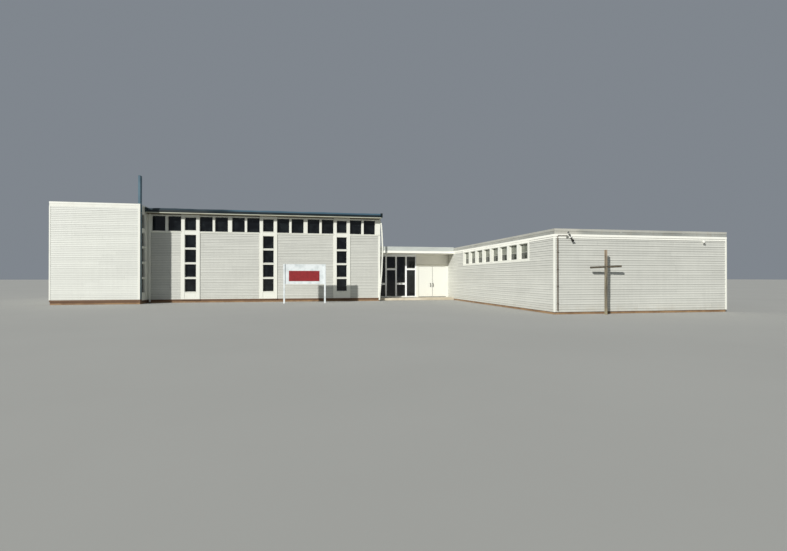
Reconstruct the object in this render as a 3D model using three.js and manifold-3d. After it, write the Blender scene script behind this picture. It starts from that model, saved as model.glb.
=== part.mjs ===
// A modern church building: a tall hall, a windowless block at its left, a low flat-roofed wing at its right,
// and a recessed glazed entrance between hall and wing. Millimetres, +Z up, the front faces -Y.
import * as THREE from 'three';
import { mergeVertices } from 'three/addons/utils/BufferGeometryUtils.js';
import Module from 'manifold-3d';

const wasm = await Module();
wasm.setup();

// Driving dimensions. X runs right along the front, Y away from the street, Z up from the ground.
const seat = 0.3;                       // clearance between two pieces that bear on each other
const wallDepth = 180;                  // framed wall with siding outside and board inside
const frameDepth = 100;                 // timber window frame, behind the face of the wall
const frameProud = 25;                  // window frame, in front of the face of the wall
const glassDepth = 12;                  // sealed glazing
const floorLevel = 150;                 // top of the floor slab
const slabSetback = 20;                 // slab edge behind the siding face
const trimProud = 20;                   // roof edges in front of the siding face

const hall = { left: -9035, right: 5000, front: 30300, back: 41300 };
const block = { left: -13645, right: -9035, front: 29000, back: 41300 };
const wing = { left: 10130, right: 18425, front: 17600, back: 38000 };
const porch = { front: 30550, doors: 31850 };

const bay = 4572;                       // fifteen feet between hall posts
const middleStrip = -2060;              // X of the middle window strip
const stripCentres = [middleStrip - bay, middleStrip, middleStrip + bay];
const stripHalf = 545;                  // half width of a strip, over its posts
const paneHalf = 325;                   // half width of a strip's panes
const paneHeight = 780;
const panePitch = 892;
const firstPane = 650;                  // bottom of the lowest pane in a strip
const stripPanes = 4;

const sillLevel = 4220;                 // top of the hall siding, under the high windows
const highPane = { bottom: 4318, top: 5227, width: 755, offsets: [900, 1790] };
const topPane = { bottom: 4378, top: 5172 };    // the pane at the head of a strip
const soffitLevel = 5320;
const eaveBoardTop = 5375;
const hallRoofTop = 5640;
const eaveOverhang = 530;
const eaveBoardSide = 10;               // eave board beyond the hall's right wall
const hallRoofSide = 90;                // hall roof beyond its right wall

const blockWallTop = 5360;
const copingTop = 5715;
const copingWidth = 120;
const blockDeckTop = 5500;
const sidePane = { near: 29310, far: 29860 };
const sideFrameEnd = hall.front + wallDepth;
const mast = { width: 120, depth: 280, top: 7330 };

const lowFrieze = 3130;                 // underside of the canopy and of the white frieze
const lowWallTop = 3295;
const lowRoofTop = 3520;

const band = { near: 19740, far: 28660, bottom: 2265, top: 3130 };
const bandWindow = { first: 19900, width: 900, pitch: 1103, bottom: 2380, top: 3090, count: 8 };
const bandDepth = 150;

const glazing = { right: 7800, pitch: 706, firstMullion: 4975, mullion: 95, bottom: 230, top: 2970 };
const lowRail = { bottom: 1030, top: 1150 };
const highRail = { bottom: 2040, top: 2160 };
const glazingDepth = 80;

const doorway = { left: 7980, right: 9965, head: 2293, meeting: 8990 };
const jambDepth = 120;
const door = { side: 5, meeting: 8, bottom: 158, top: 2285, depth: 45, setback: 20 };
const hinge = { radius: 8, height: 100, clear: 9, levels: [350, 1200, 2050] };
const pull = { length: 260, centre: 1000, standoff: 55, bar: 22, insetLeft: 150, insetRight: 30, foot: 200 };

const pipe = { width: 80, depth: 60, bottom: 60, gap: 20 };
const pipeBow = [
  [4955, 5320], [4980, 5230], [5045, 5060], [5075, 4880], [5115, 4300], [5150, 3400], [5118, 2400], [5080, 1680],
  [4993, 700], [4945, 60],
];

const conduit = { x: 10275, riser: 46, run: 26, level: 3225 };
const lampBox = { x: 10620, z: 3190, width: 110, height: 90, depth: 60 };

const cross = { x: 12183, y: 17180, post: 90, height: 2640, barLength: 1320, barHeight: 80, barDepth: 90 };
const barCentre = 1945;
const barTilt = THREE.MathUtils.degToRad(2.5);
const crossTurn = THREE.MathUtils.degToRad(-5);   // seen from above, its right arm is nearer the street

const sign = { left: -1070, right: 1390, y: 28200, post: 100, top: 2310, bottom: 1130, rail: 45, board: 30 };

// Basic closed shapes, each placed where it stands on the site.
const upright = new THREE.Matrix4().makeBasis(
  new THREE.Vector3(1, 0, 0), new THREE.Vector3(0, 0, 1), new THREE.Vector3(0, -1, 0));
const sideways = new THREE.Matrix4().makeBasis(
  new THREE.Vector3(0, 1, 0), new THREE.Vector3(0, 0, 1), new THREE.Vector3(1, 0, 0));

function box(x0, x1, y0, y1, z0, z1) {
  const shape = new THREE.BoxGeometry(x1 - x0, y1 - y0, z1 - z0);
  return shape.translate((x0 + x1) / 2, (y0 + y1) / 2, (z0 + z1) / 2);
}

function rectangle(a0, a1, b0, b1) {
  return [[a0, b0], [a1, b0], [a1, b1], [a0, b1]];
}

function extruded(outline, start, end) {
  const shape = new THREE.Shape(outline.map(([a, b]) => new THREE.Vector2(a, b)));
  const body = new THREE.ExtrudeGeometry(shape, { depth: end - start, bevelEnabled: false });
  return body.translate(0, 0, start);
}

function plate(outline, holes, depth) {
  const sheet = extruded(outline, 0, depth);
  const overcut = 5;
  return holes.length === 0 ? sheet : cut(sheet, ...holes.map((hole) => extruded(hole, -overcut, depth + overcut)));
}

// Flat plate drawn in X and Z, from y0 back to y1.
function frontPlate(outline, holes, y0, y1) {
  return plate(outline, holes, y1 - y0).applyMatrix4(upright).translate(0, y1, 0);
}

// Flat plate drawn in Y and Z, from x0 to x1.
function sidePlate(outline, holes, x0, x1) {
  return plate(outline, holes, x1 - x0).applyMatrix4(sideways).translate(x0, 0, 0);
}

// Flat plate drawn in X and Y, from z0 up to z1.
function levelPlate(outline, holes, z0, z1) {
  return plate(outline, holes, z1 - z0).translate(0, 0, z0);
}

// Joins and cuts of closed shapes.
function solid(geometry) {
  const bare = geometry.clone();
  bare.deleteAttribute('normal');
  bare.deleteAttribute('uv');
  const merged = mergeVertices(bare);
  const mesh = new wasm.Mesh({
    numProp: 3,
    vertProperties: new Float32Array(merged.attributes.position.array),
    triVerts: new Uint32Array(merged.index.array),
  });
  return new wasm.Manifold(mesh);
}

function geometryOf(body) {
  const mesh = body.getMesh();
  const geometry = new THREE.BufferGeometry();
  geometry.setAttribute('position', new THREE.BufferAttribute(mesh.vertProperties, 3));
  geometry.setIndex(new THREE.BufferAttribute(mesh.triVerts, 1));
  geometry.computeVertexNormals();
  return geometry;
}

function joined(...shapes) {
  return geometryOf(shapes.map(solid).reduce((whole, next) => whole.add(next)));
}

function cut(shape, ...tools) {
  return geometryOf(tools.map(solid).reduce((whole, next) => whole.subtract(next), solid(shape)));
}

// Finishes, one function each so that every piece has a material of its own.
const finish = {
  greySiding: () => new THREE.MeshStandardMaterial({ color: 0xcdcec5, roughness: 0.62 }),
  whiteSiding: () => new THREE.MeshStandardMaterial({ color: 0xe5e6db, roughness: 0.6 }),
  whiteTrim: () => new THREE.MeshStandardMaterial({ color: 0xf1f1e8, roughness: 0.5 }),
  creamBoard: () => new THREE.MeshStandardMaterial({ color: 0xcdbfa4, roughness: 0.6 }),
  darkGlass: () => new THREE.MeshStandardMaterial({ color: 0x14181c, roughness: 0.08 }),
  darkEdge: () => new THREE.MeshStandardMaterial({ color: 0x18241f, roughness: 0.5, metalness: 0.2 }),
  greyMetal: () => new THREE.MeshStandardMaterial({ color: 0x9fa4a2, roughness: 0.5, metalness: 0.3 }),
  concrete: () => new THREE.MeshStandardMaterial({ color: 0xb4a98f, roughness: 0.9 }),
  membrane: () => new THREE.MeshStandardMaterial({ color: 0x8d8d88, roughness: 0.9 }),
  doorPaint: () => new THREE.MeshStandardMaterial({ color: 0xf9faed, roughness: 0.4 }),
  darkMetal: () => new THREE.MeshStandardMaterial({ color: 0x2a2b2c, roughness: 0.35, metalness: 0.6 }),
  timber: () => new THREE.MeshStandardMaterial({ color: 0x766f60, roughness: 0.85 }),
};

const church = new THREE.Group();

function add(name, geometry, material) {
  const mesh = new THREE.Mesh(geometry, material());
  mesh.name = name;
  church.add(mesh);
}

// Floor slabs: one under all the rooms, one in front of the doors.
function addSlabs() {
  const s = slabSetback;
  const mastLeft = block.right - mast.width - seat;
  const mastBack = block.front + mast.depth + seat;
  const rooms = [
    [block.left + s, block.front + s], [mastLeft, block.front + s], [mastLeft, mastBack],
    [block.right - s, mastBack], [block.right - s, hall.front + s],
    [hall.right - s, hall.front + s], [hall.right - s, porch.doors], [wing.left + s, porch.doors],
    [wing.left + s, wing.front + s], [wing.right - s, wing.front + s], [wing.right - s, wing.back - s],
    [hall.right - s, wing.back - s], [hall.right - s, hall.back - s], [block.left + s, hall.back - s],
  ];
  add('floor_slab', levelPlate(rooms, [], 0, floorLevel - seat), finish.concrete);
  const step = box(hall.right - s + seat, wing.left + s - seat, porch.front, porch.doors - seat,
    0, floorLevel - seat);
  add('porch_slab', step, finish.concrete);
}

// Hall front: siding panels between the window strips.
function addFrontPanels() {
  const edges = [hall.left + seat];
  for (const centre of stripCentres) {
    edges.push(centre - stripHalf - seat, centre + stripHalf + seat);
  }
  edges.push(hall.right);
  for (let n = 0; n < edges.length / 2; n += 1) {
    const panel = box(edges[2 * n], edges[2 * n + 1], hall.front, hall.front + wallDepth,
      floorLevel, sillLevel - seat);
    add(`hall_front_panel_${n + 1}`, panel, finish.greySiding);
  }
}

// The five windows along the top of one bay: two, the pane at the head of the strip, and two.
function highOpenings(centre) {
  const [near, far] = highPane.offsets;
  const beside = [-far, -near, near, far].map((offset) => rectangle(
    centre + offset - highPane.width / 2, centre + offset + highPane.width / 2, highPane.bottom, highPane.top));
  const head = rectangle(centre - paneHalf, centre + paneHalf, topPane.bottom, topPane.top);
  return [beside[0], beside[1], head, beside[2], beside[3]];
}

function stripPaneLevels() {
  return Array.from({ length: stripPanes }, (_, n) => [
    firstPane + n * panePitch, firstPane + n * panePitch + paneHeight,
  ]);
}

// Hall front: one white timber frame a bay, a window strip to the ground with high windows beside its head.
function addBayFrames() {
  stripCentres.forEach((centre, n) => {
    const left = n === 0 ? hall.left + seat : centre - bay / 2 + seat;
    const right = n === stripCentres.length - 1 ? hall.right : centre + bay / 2;
    const outline = [
      [centre - stripHalf, floorLevel], [centre + stripHalf, floorLevel],
      [centre + stripHalf, sillLevel], [right, sillLevel], [right, soffitLevel - seat],
      [left, soffitLevel - seat], [left, sillLevel], [centre - stripHalf, sillLevel],
    ];
    const holes = [
      ...stripPaneLevels().map(([z0, z1]) => rectangle(centre - paneHalf, centre + paneHalf, z0, z1)),
      ...highOpenings(centre),
    ];
    const frame = frontPlate(outline, holes, hall.front - frameProud, hall.front + frameDepth);
    add(`bay_frame_${n + 1}`, frame, finish.whiteTrim);
  });
}

// Hall front glass: one sheet behind the high windows, with a tongue down behind each strip.
function addFrontGlass() {
  const lap = 40;
  const reach = highPane.offsets[1] + highPane.width / 2 + lap;
  const first = stripCentres[0] - reach;
  const last = stripCentres[stripCentres.length - 1] + reach;
  const bottom = highPane.bottom - lap;
  const outline = [];
  for (const centre of stripCentres) {
    outline.push(
      [centre - paneHalf - lap, bottom], [centre - paneHalf - lap, firstPane - lap],
      [centre + paneHalf + lap, firstPane - lap], [centre + paneHalf + lap, bottom]);
  }
  outline.push([last, bottom], [last, highPane.top + lap], [first, highPane.top + lap], [first, bottom]);
  const y = hall.front + frameDepth + seat;
  add('hall_front_glass', frontPlate(outline, [], y, y + glassDepth), finish.darkGlass);
}

// Back of hall and block: siding with the same high windows, and one sheet of glass behind them.
function addBackWall() {
  const holes = stripCentres.flatMap(highOpenings);
  const outline = [
    [block.left, floorLevel], [hall.right, floorLevel], [hall.right, soffitLevel - seat],
    [block.right + seat, soffitLevel - seat], [block.right + seat, blockWallTop - seat],
    [block.left, blockWallTop - seat],
  ];
  add('back_wall', frontPlate(outline, holes, hall.back - wallDepth, hall.back), finish.greySiding);
  const lap = 40;
  const reach = highPane.offsets[1] + highPane.width / 2 + lap;
  const y = hall.back - wallDepth - seat;
  const sheet = box(stripCentres[0] - reach, stripCentres[stripCentres.length - 1] + reach, y - glassDepth, y,
    highPane.bottom - lap, highPane.top + lap);
  add('back_glass', sheet, finish.darkGlass);
}

// Right side of the hall: a wall above the entrance roof, and one short wall before and behind the lobby.
function addHallRightWall() {
  const x0 = hall.right - wallDepth;
  const front = hall.front + wallDepth + seat;
  const back = hall.back - wallDepth - seat;
  const upper = [
    [front, lowFrieze], [back, lowFrieze], [back, soffitLevel - seat],
    [hall.front + frameDepth + seat, soffitLevel - seat], [hall.front + frameDepth + seat, sillLevel],
    [front, sillLevel],
  ];
  add('hall_right_wall_upper', sidePlate(upper, [], x0, hall.right), finish.greySiding);
  const before = box(x0, hall.right, front, porch.doors + jambDepth, floorLevel, lowFrieze - seat);
  add('hall_right_wall_front', before, finish.greySiding);
  const behind = box(x0, hall.right, wing.back - wallDepth, back, floorLevel, lowFrieze - seat);
  add('hall_right_wall_back', behind, finish.greySiding);
}

// Hall roof: a cream board under the eaves, and the roof with its dark metal edge on top of it.
function addHallRoof() {
  const left = block.right + seat;
  const right = hall.right + hallRoofSide;
  const front = hall.front - eaveOverhang;
  const back = hall.back + eaveOverhang;
  const inside = rectangle(left + wallDepth, hall.right - wallDepth, hall.front + wallDepth, hall.back - wallDepth);
  const edge = trimProud;
  const board = levelPlate(rectangle(left, hall.right + eaveBoardSide, front + edge, back - edge), [inside],
    soffitLevel, eaveBoardTop - seat);
  add('hall_eave_board', board, finish.creamBoard);
  add('hall_roof', box(left, right, front, back, eaveBoardTop, hallRoofTop), finish.darkEdge);
}

// Block: siding walls, the strip of windows in its side, a white coping round a sunk roof deck.
function addBlock() {
  const mastLeft = block.right - mast.width;
  const front = box(block.left, mastLeft - seat, block.front, block.front + wallDepth,
    floorLevel, blockWallTop - seat);
  add('block_front_wall', front, finish.whiteSiding);
  const side = box(block.left, block.left + wallDepth, block.front + wallDepth + seat,
    block.back - wallDepth - seat, floorLevel, blockWallTop - seat);
  add('block_left_wall', side, finish.whiteSiding);

  const start = block.front + mast.depth + seat;
  const outline = rectangle(start, sideFrameEnd, floorLevel, blockWallTop - seat);
  const panes = [...stripPaneLevels(), [topPane.bottom, topPane.top]];
  const holes = panes.map(([z0, z1]) => rectangle(sidePane.near, sidePane.far, z0, z1));
  add('block_side_frame', sidePlate(outline, holes, block.right - frameDepth, block.right), finish.whiteTrim);
  const lap = 20;
  const x = block.right - frameDepth - seat;
  const sheet = box(x - glassDepth, x, sidePane.near - lap, sidePane.far + lap,
    firstPane - lap, topPane.top + lap);
  add('block_side_glass', sheet, finish.darkGlass);

  const p = trimProud;
  const w = copingWidth - p;
  const coping = [
    [mastLeft - seat, block.front - p], [mastLeft - seat, block.front + w], [block.left + w, block.front + w],
    [block.left + w, block.back - w], [block.right - w, block.back - w], [block.right - w, start],
    [block.right, start], [block.right, block.back + p], [block.left - p, block.back + p],
    [block.left - p, block.front - p],
  ];
  add('block_coping', levelPlate(coping, [], blockWallTop, copingTop), finish.whiteTrim);
  const deck = [
    [block.left + w + seat, block.front + w + seat], [mastLeft - seat, block.front + w + seat],
    [mastLeft - seat, start], [block.right - w - seat, start], [block.right - w - seat, block.back - w - seat],
    [block.left + w + seat, block.back - w - seat],
  ];
  add('block_roof', levelPlate(deck, [], blockWallTop, blockDeckTop), finish.membrane);
  const post = box(mastLeft, block.right, block.front, block.front + mast.depth, 0, mast.top);
  add('corner_mast', post, finish.greyMetal);
}

// Wing walls: plain siding in front and behind, a band of small windows high in each long side.
function addWingWalls() {
  const top = lowWallTop - seat;
  const inFront = wing.front + wallDepth + seat;
  const atBack = wing.back - wallDepth - seat;
  add('wing_front_wall', box(wing.left, wing.right, wing.front, wing.front + wallDepth, floorLevel, top),
    finish.greySiding);
  add('wing_back_wall', box(wing.left, wing.right, wing.back - wallDepth, wing.back, floorLevel, top),
    finish.greySiding);

  const leftOutline = rectangle(inFront, porch.doors + jambDepth, floorLevel, top);
  const opening = rectangle(band.near, band.far, band.bottom, band.top);
  add('wing_left_wall', sidePlate(leftOutline, [opening], wing.left, wing.left + wallDepth), finish.greySiding);

  const rightOutline = rectangle(inFront, atBack, floorLevel, top);
  const rightWall = sidePlate(rightOutline, bandHoles(), wing.right - wallDepth, wing.right);
  add('wing_right_wall', rightWall, finish.greySiding);
  add('wing_right_glass', bandSheet(wing.right - wallDepth - seat - glassDepth), finish.darkGlass);
}

function bandHoles() {
  return Array.from({ length: bandWindow.count }, (_, n) => {
    const near = bandWindow.first + n * bandWindow.pitch;
    return rectangle(near, near + bandWindow.width, bandWindow.bottom, bandWindow.top);
  });
}

function bandSheet(x) {
  const lap = 30;
  const far = bandWindow.first + (bandWindow.count - 1) * bandWindow.pitch + bandWindow.width;
  return box(x, x + glassDepth, bandWindow.first - lap, far + lap, bandWindow.bottom - lap, bandWindow.top + lap);
}

// The white surround and deep reveals of the window band on the left side of the wing.
function addWindowBand() {
  const outline = rectangle(band.near + seat, band.far - seat, band.bottom + seat, band.top - seat);
  const proud = 15;
  const frame = sidePlate(outline, bandHoles(), wing.left - proud, wing.left + bandDepth - proud);
  add('window_band_frame', frame, finish.whiteTrim);
  add('window_band_glass', bandSheet(wing.left + bandDepth - proud + seat), finish.darkGlass);
}

// Flat roofs of the wing and of the entrance, each with its deep edge.
function addLowRoofs() {
  const p = trimProud;
  const roof = box(wing.left - p, wing.right + p, wing.front - p, wing.back + p, lowWallTop, lowRoofTop);
  add('wing_roof', roof, finish.greyMetal);
  const outline = [
    [hall.right + seat, lowFrieze], [wing.left - seat, lowFrieze], [wing.left - seat, lowWallTop - seat],
    [wing.left - p - seat, lowWallTop - seat], [wing.left - p - seat, lowRoofTop], [hall.right + seat, lowRoofTop],
  ];
  add('entrance_roof', frontPlate(outline, [], porch.front, wing.back + p), finish.greyMetal);
  const back = box(hall.right + seat, wing.left - seat, wing.back - wallDepth, wing.back,
    floorLevel, lowFrieze - seat);
  add('lobby_back_wall', back, finish.greySiding);
}

// Entrance: four glazed columns, with their rails low and high by turns.
function addGlazing() {
  const outline = rectangle(hall.right + seat, glazing.right, floorLevel, lowFrieze - seat);
  const half = glazing.mullion / 2;
  const holes = [];
  for (let n = 0; n < 4; n += 1) {
    const x0 = glazing.firstMullion + n * glazing.pitch + half;
    const x1 = x0 + glazing.pitch - glazing.mullion;
    const rail = n % 2 === 0 ? lowRail : highRail;
    holes.push(rectangle(x0, x1, glazing.bottom, rail.bottom), rectangle(x0, x1, rail.top, glazing.top));
  }
  const frame = frontPlate(outline, holes, porch.doors, porch.doors + glazingDepth);
  add('entrance_frame', frame, finish.whiteTrim);
  const y = porch.doors + glazingDepth + seat;
  const sheet = box(hall.right + seat, glazing.right - seat, y, y + glassDepth,
    glazing.bottom - 40, glazing.top + 40);
  add('entrance_glass', sheet, finish.darkGlass);
}

// One half of a butt hinge: a knuckle on the hinge line with a short plate back to what it is screwed to.
function knuckle(x, y, z, plateX0, plateX1, plateY0, plateY1) {
  const half = hinge.height / 2 - seat;
  const barrel = new THREE.CylinderGeometry(hinge.radius, hinge.radius, half, 12);
  barrel.rotateX(Math.PI / 2).translate(x, y, z + half / 2);
  const flap = box(plateX0, plateX1, plateY0, plateY1, z + 1, z + half - 1);
  return joined(barrel, flap);
}

// The line that a door turns on, just in front of its face and clear of its jamb.
function hingeLine(side) {
  const jamb = side === 'left' ? doorway.left : doorway.right;
  const inwards = side === 'left' ? 1 : -1;
  return { x: jamb + inwards * hinge.clear, y: porch.doors + door.setback - hinge.clear, jamb, inwards };
}

// Doorway: a jamb each side with the lower hinge knuckles, and the panel over the doors.
function addDoorway() {
  const y0 = porch.doors;
  const y1 = porch.doors + jambDepth;
  const blocks = {
    left: box(glazing.right + seat, doorway.left, y0, y1, floorLevel, doorway.head),
    right: box(doorway.right, wing.left - seat, y0, y1, floorLevel, doorway.head),
  };
  for (const side of ['left', 'right']) {
    const { x, y, jamb, inwards } = hingeLine(side);
    const ends = [jamb - 2 * inwards, jamb + 5 * inwards].sort((a, b) => a - b);
    const knuckles = hinge.levels.map((z) => knuckle(x, y, z - hinge.height / 2, ends[0], ends[1], y - 4, y + 4));
    add(`door_jamb_${side}`, joined(blocks[side], ...knuckles), finish.whiteTrim);
  }
  const over = box(glazing.right + seat, wing.left - seat, y0, y1, doorway.head + seat, lowFrieze - seat);
  add('over_door_panel', over, finish.whiteTrim);
}

// A pull handle: a vertical bar on two feet.
function pullHandle(x, face) {
  const half = pull.bar / 2;
  const grip = box(x - half, x + half, face - pull.standoff - half, face - pull.standoff + half,
    pull.centre - pull.length / 2, pull.centre + pull.length / 2);
  const feet = [-1, 1].map((side) => {
    const z = pull.centre + side * pull.foot / 2;
    return box(x - half, x + half, face - pull.standoff, face - seat, z - half, z + half);
  });
  return joined(grip, ...feet);
}

// Two door leaves that swing outwards on their outer edges.
function addDoors() {
  const face = porch.doors + door.setback;
  const middle = doorway.meeting;
  const leaves = [
    { name: 'left', x0: doorway.left + door.side, x1: middle - door.meeting / 2, pullX: middle - pull.insetLeft },
    { name: 'right', x0: middle + door.meeting / 2, x1: doorway.right - door.side, pullX: middle + pull.insetRight },
  ];
  for (const leaf of leaves) {
    const slab = box(leaf.x0, leaf.x1, face, face + door.depth, door.bottom, door.top);
    const { x, y, inwards } = hingeLine(leaf.name);
    const ends = [x, x + 30 * inwards].sort((a, b) => a - b);
    const knuckles = hinge.levels.map((z) => knuckle(x, y, z, ends[0], ends[1], face - 4, face + 1));
    add(`${leaf.name}_door`, joined(slab, ...knuckles), finish.doorPaint);
    add(`${leaf.name}_door_pull`, pullHandle(leaf.pullX, face), finish.darkMetal);
  }
}

// Rainwater pipes: one straight in the inner corner, one slightly bowed at the right end of the hall.
function addPipes() {
  const y1 = hall.front - frameProud - pipe.gap;
  const x0 = hall.left + 110;
  const straight = box(x0, x0 + pipe.width, y1 - pipe.depth, y1, pipe.bottom, soffitLevel - seat);
  add('downspout_left', straight, finish.whiteTrim);
  const path = new THREE.CatmullRomCurve3(pipeBow.map(([x, z]) =>
    new THREE.Vector3(x, y1 - pipe.depth / 2, Math.min(z, soffitLevel - seat))));
  const outline = [];
  const points = path.getPoints(24);
  points.forEach((point) => outline.push([point.x - pipe.width / 2, point.z]));
  points.reverse().forEach((point) => outline.push([point.x + pipe.width / 2, point.z]));
  add('downspout_right', frontPlate(outline, [], y1 - pipe.depth, y1), finish.whiteTrim);
}

// One flared lamp can on a short arm, from where the arm leaves the box to the middle of the can.
function lampCan(from, to, size, towards) {
  const start = new THREE.Vector3(...from);
  const middle = new THREE.Vector3(...to);
  const reach = middle.clone().sub(start);
  const arm = new THREE.CylinderGeometry(size * 0.12, size * 0.12, reach.length(), 8);
  arm.applyQuaternion(new THREE.Quaternion().setFromUnitVectors(
    new THREE.Vector3(0, 1, 0), reach.clone().normalize()));
  arm.translate(...start.clone().add(middle).multiplyScalar(0.5).toArray());
  const can = new THREE.CylinderGeometry(size * 0.5, size * 0.3, size * 1.3, 16);
  can.applyQuaternion(new THREE.Quaternion().setFromUnitVectors(
    new THREE.Vector3(0, 1, 0), new THREE.Vector3(...towards).normalize()));
  can.translate(...middle.toArray());
  return joined(arm, can);
}

// Floodlights on the wing's front: a pair on one box at the left, fed by a conduit, and a small one at the right.
function addLamps() {
  const wall = wing.front - seat;
  const { x, z, width, height, depth } = lampBox;
  const backBox = box(x - width / 2, x + width / 2, wall - depth, wall, z - height / 2, z + height / 2);
  const upper = lampCan([x + 20, wall - 45, z + 20], [x + 25, wall - 150, z + 70], 100, [-0.3, -0.75, 0.6]);
  const lower = lampCan([x + 30, wall - 45, z - 5], [x + 145, wall - 150, z - 15], 110, [0.45, -0.7, -0.55]);
  add('floodlight_left', joined(backBox, upper, lower), finish.whiteTrim);

  const small = { x: 17200, z: 3075 };
  const base = box(small.x - 30, small.x + 30, wall - 25, wall, small.z - 30, small.z + 30);
  const head = lampCan([small.x, wall - 15, small.z], [small.x, wall - 95, small.z - 20], 95, [0.1, -0.7, -0.7]);
  add('floodlight_right', joined(base, head), finish.whiteTrim);

  const riserHalf = conduit.riser / 2;
  const riser = box(conduit.x - riserHalf, conduit.x + riserHalf, wall - conduit.riser, wall,
    floorLevel, conduit.level + conduit.run / 2);
  const run = box(conduit.x, x - width / 2 - seat, wall - conduit.run, wall,
    conduit.level - conduit.run / 2, conduit.level + conduit.run / 2);
  add('conduit', joined(riser, run), finish.greyMetal);
}

// Timber cross: a square post with a slightly tilted bar half-lapped through it, turned a little from the wall.
function addCross() {
  const half = cross.post / 2;
  const post = box(-half, half, -half, half, 0, cross.height);
  const tilted = (length, depth0, depth1, height) => {
    const bar = box(-length / 2, length / 2, depth0, depth1, -height / 2, height / 2);
    return bar.rotateY(-barTilt).translate(0, 0, barCentre);
  };
  const barHalf = cross.barDepth / 2;
  const bar = tilted(cross.barLength, -barHalf, barHalf, cross.barHeight);
  const notch = tilted(cross.post * 2, -half - 1, 0, cross.barHeight + 2 * seat);
  const lap = box(-half - seat, half + seat, -seat, half + 1, 0, cross.height);
  const placed = (shape) => shape.rotateZ(crossTurn).translate(cross.x, cross.y, 0);
  add('cross_post', placed(cut(post, notch)), finish.timber);
  add('cross_bar', placed(cut(bar, lap)), finish.timber);
}

// Free-standing sign: two posts with a rail above and below a bare board.
function addSign() {
  const half = sign.post / 2;
  const { left, right, y } = sign;
  const frame = joined(
    box(left, left + sign.post, y - half, y + half, 0, sign.top),
    box(right - sign.post, right, y - half, y + half, 0, sign.top),
    box(left + 1, right - 1, y - half / 2, y + half / 2, sign.top - sign.rail - 5, sign.top - 5),
    box(left + 1, right - 1, y - half / 2, y + half / 2, sign.bottom, sign.bottom + sign.rail));
  add('sign_frame', frame, finish.whiteTrim);
  const board = box(left + sign.post + seat, right - sign.post - seat, y - sign.board / 2, y + sign.board / 2,
    sign.bottom + sign.rail + seat, sign.top - sign.rail - 5 - seat);
  add('sign_board', board, finish.whiteTrim);
}

addSlabs();
addFrontPanels();
addBayFrames();
addFrontGlass();
addBackWall();
addHallRightWall();
addHallRoof();
addBlock();
addWingWalls();
addWindowBand();
addLowRoofs();
addGlazing();
addDoorway();
addDoors();
addPipes();
addLamps();
addCross();
addSign();

// The origin is the middle of the footprint, at ground level.
const extent = new THREE.Box3().setFromObject(church);
church.position.set(-(extent.min.x + extent.max.x) / 2, -(extent.min.y + extent.max.y) / 2, -extent.min.z);
church.updateMatrixWorld(true);

export default church;
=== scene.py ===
"""Looks for a modern church building: a tall hall with window strips, a block, an entrance, a low wing."""

import itertools
import math

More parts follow.
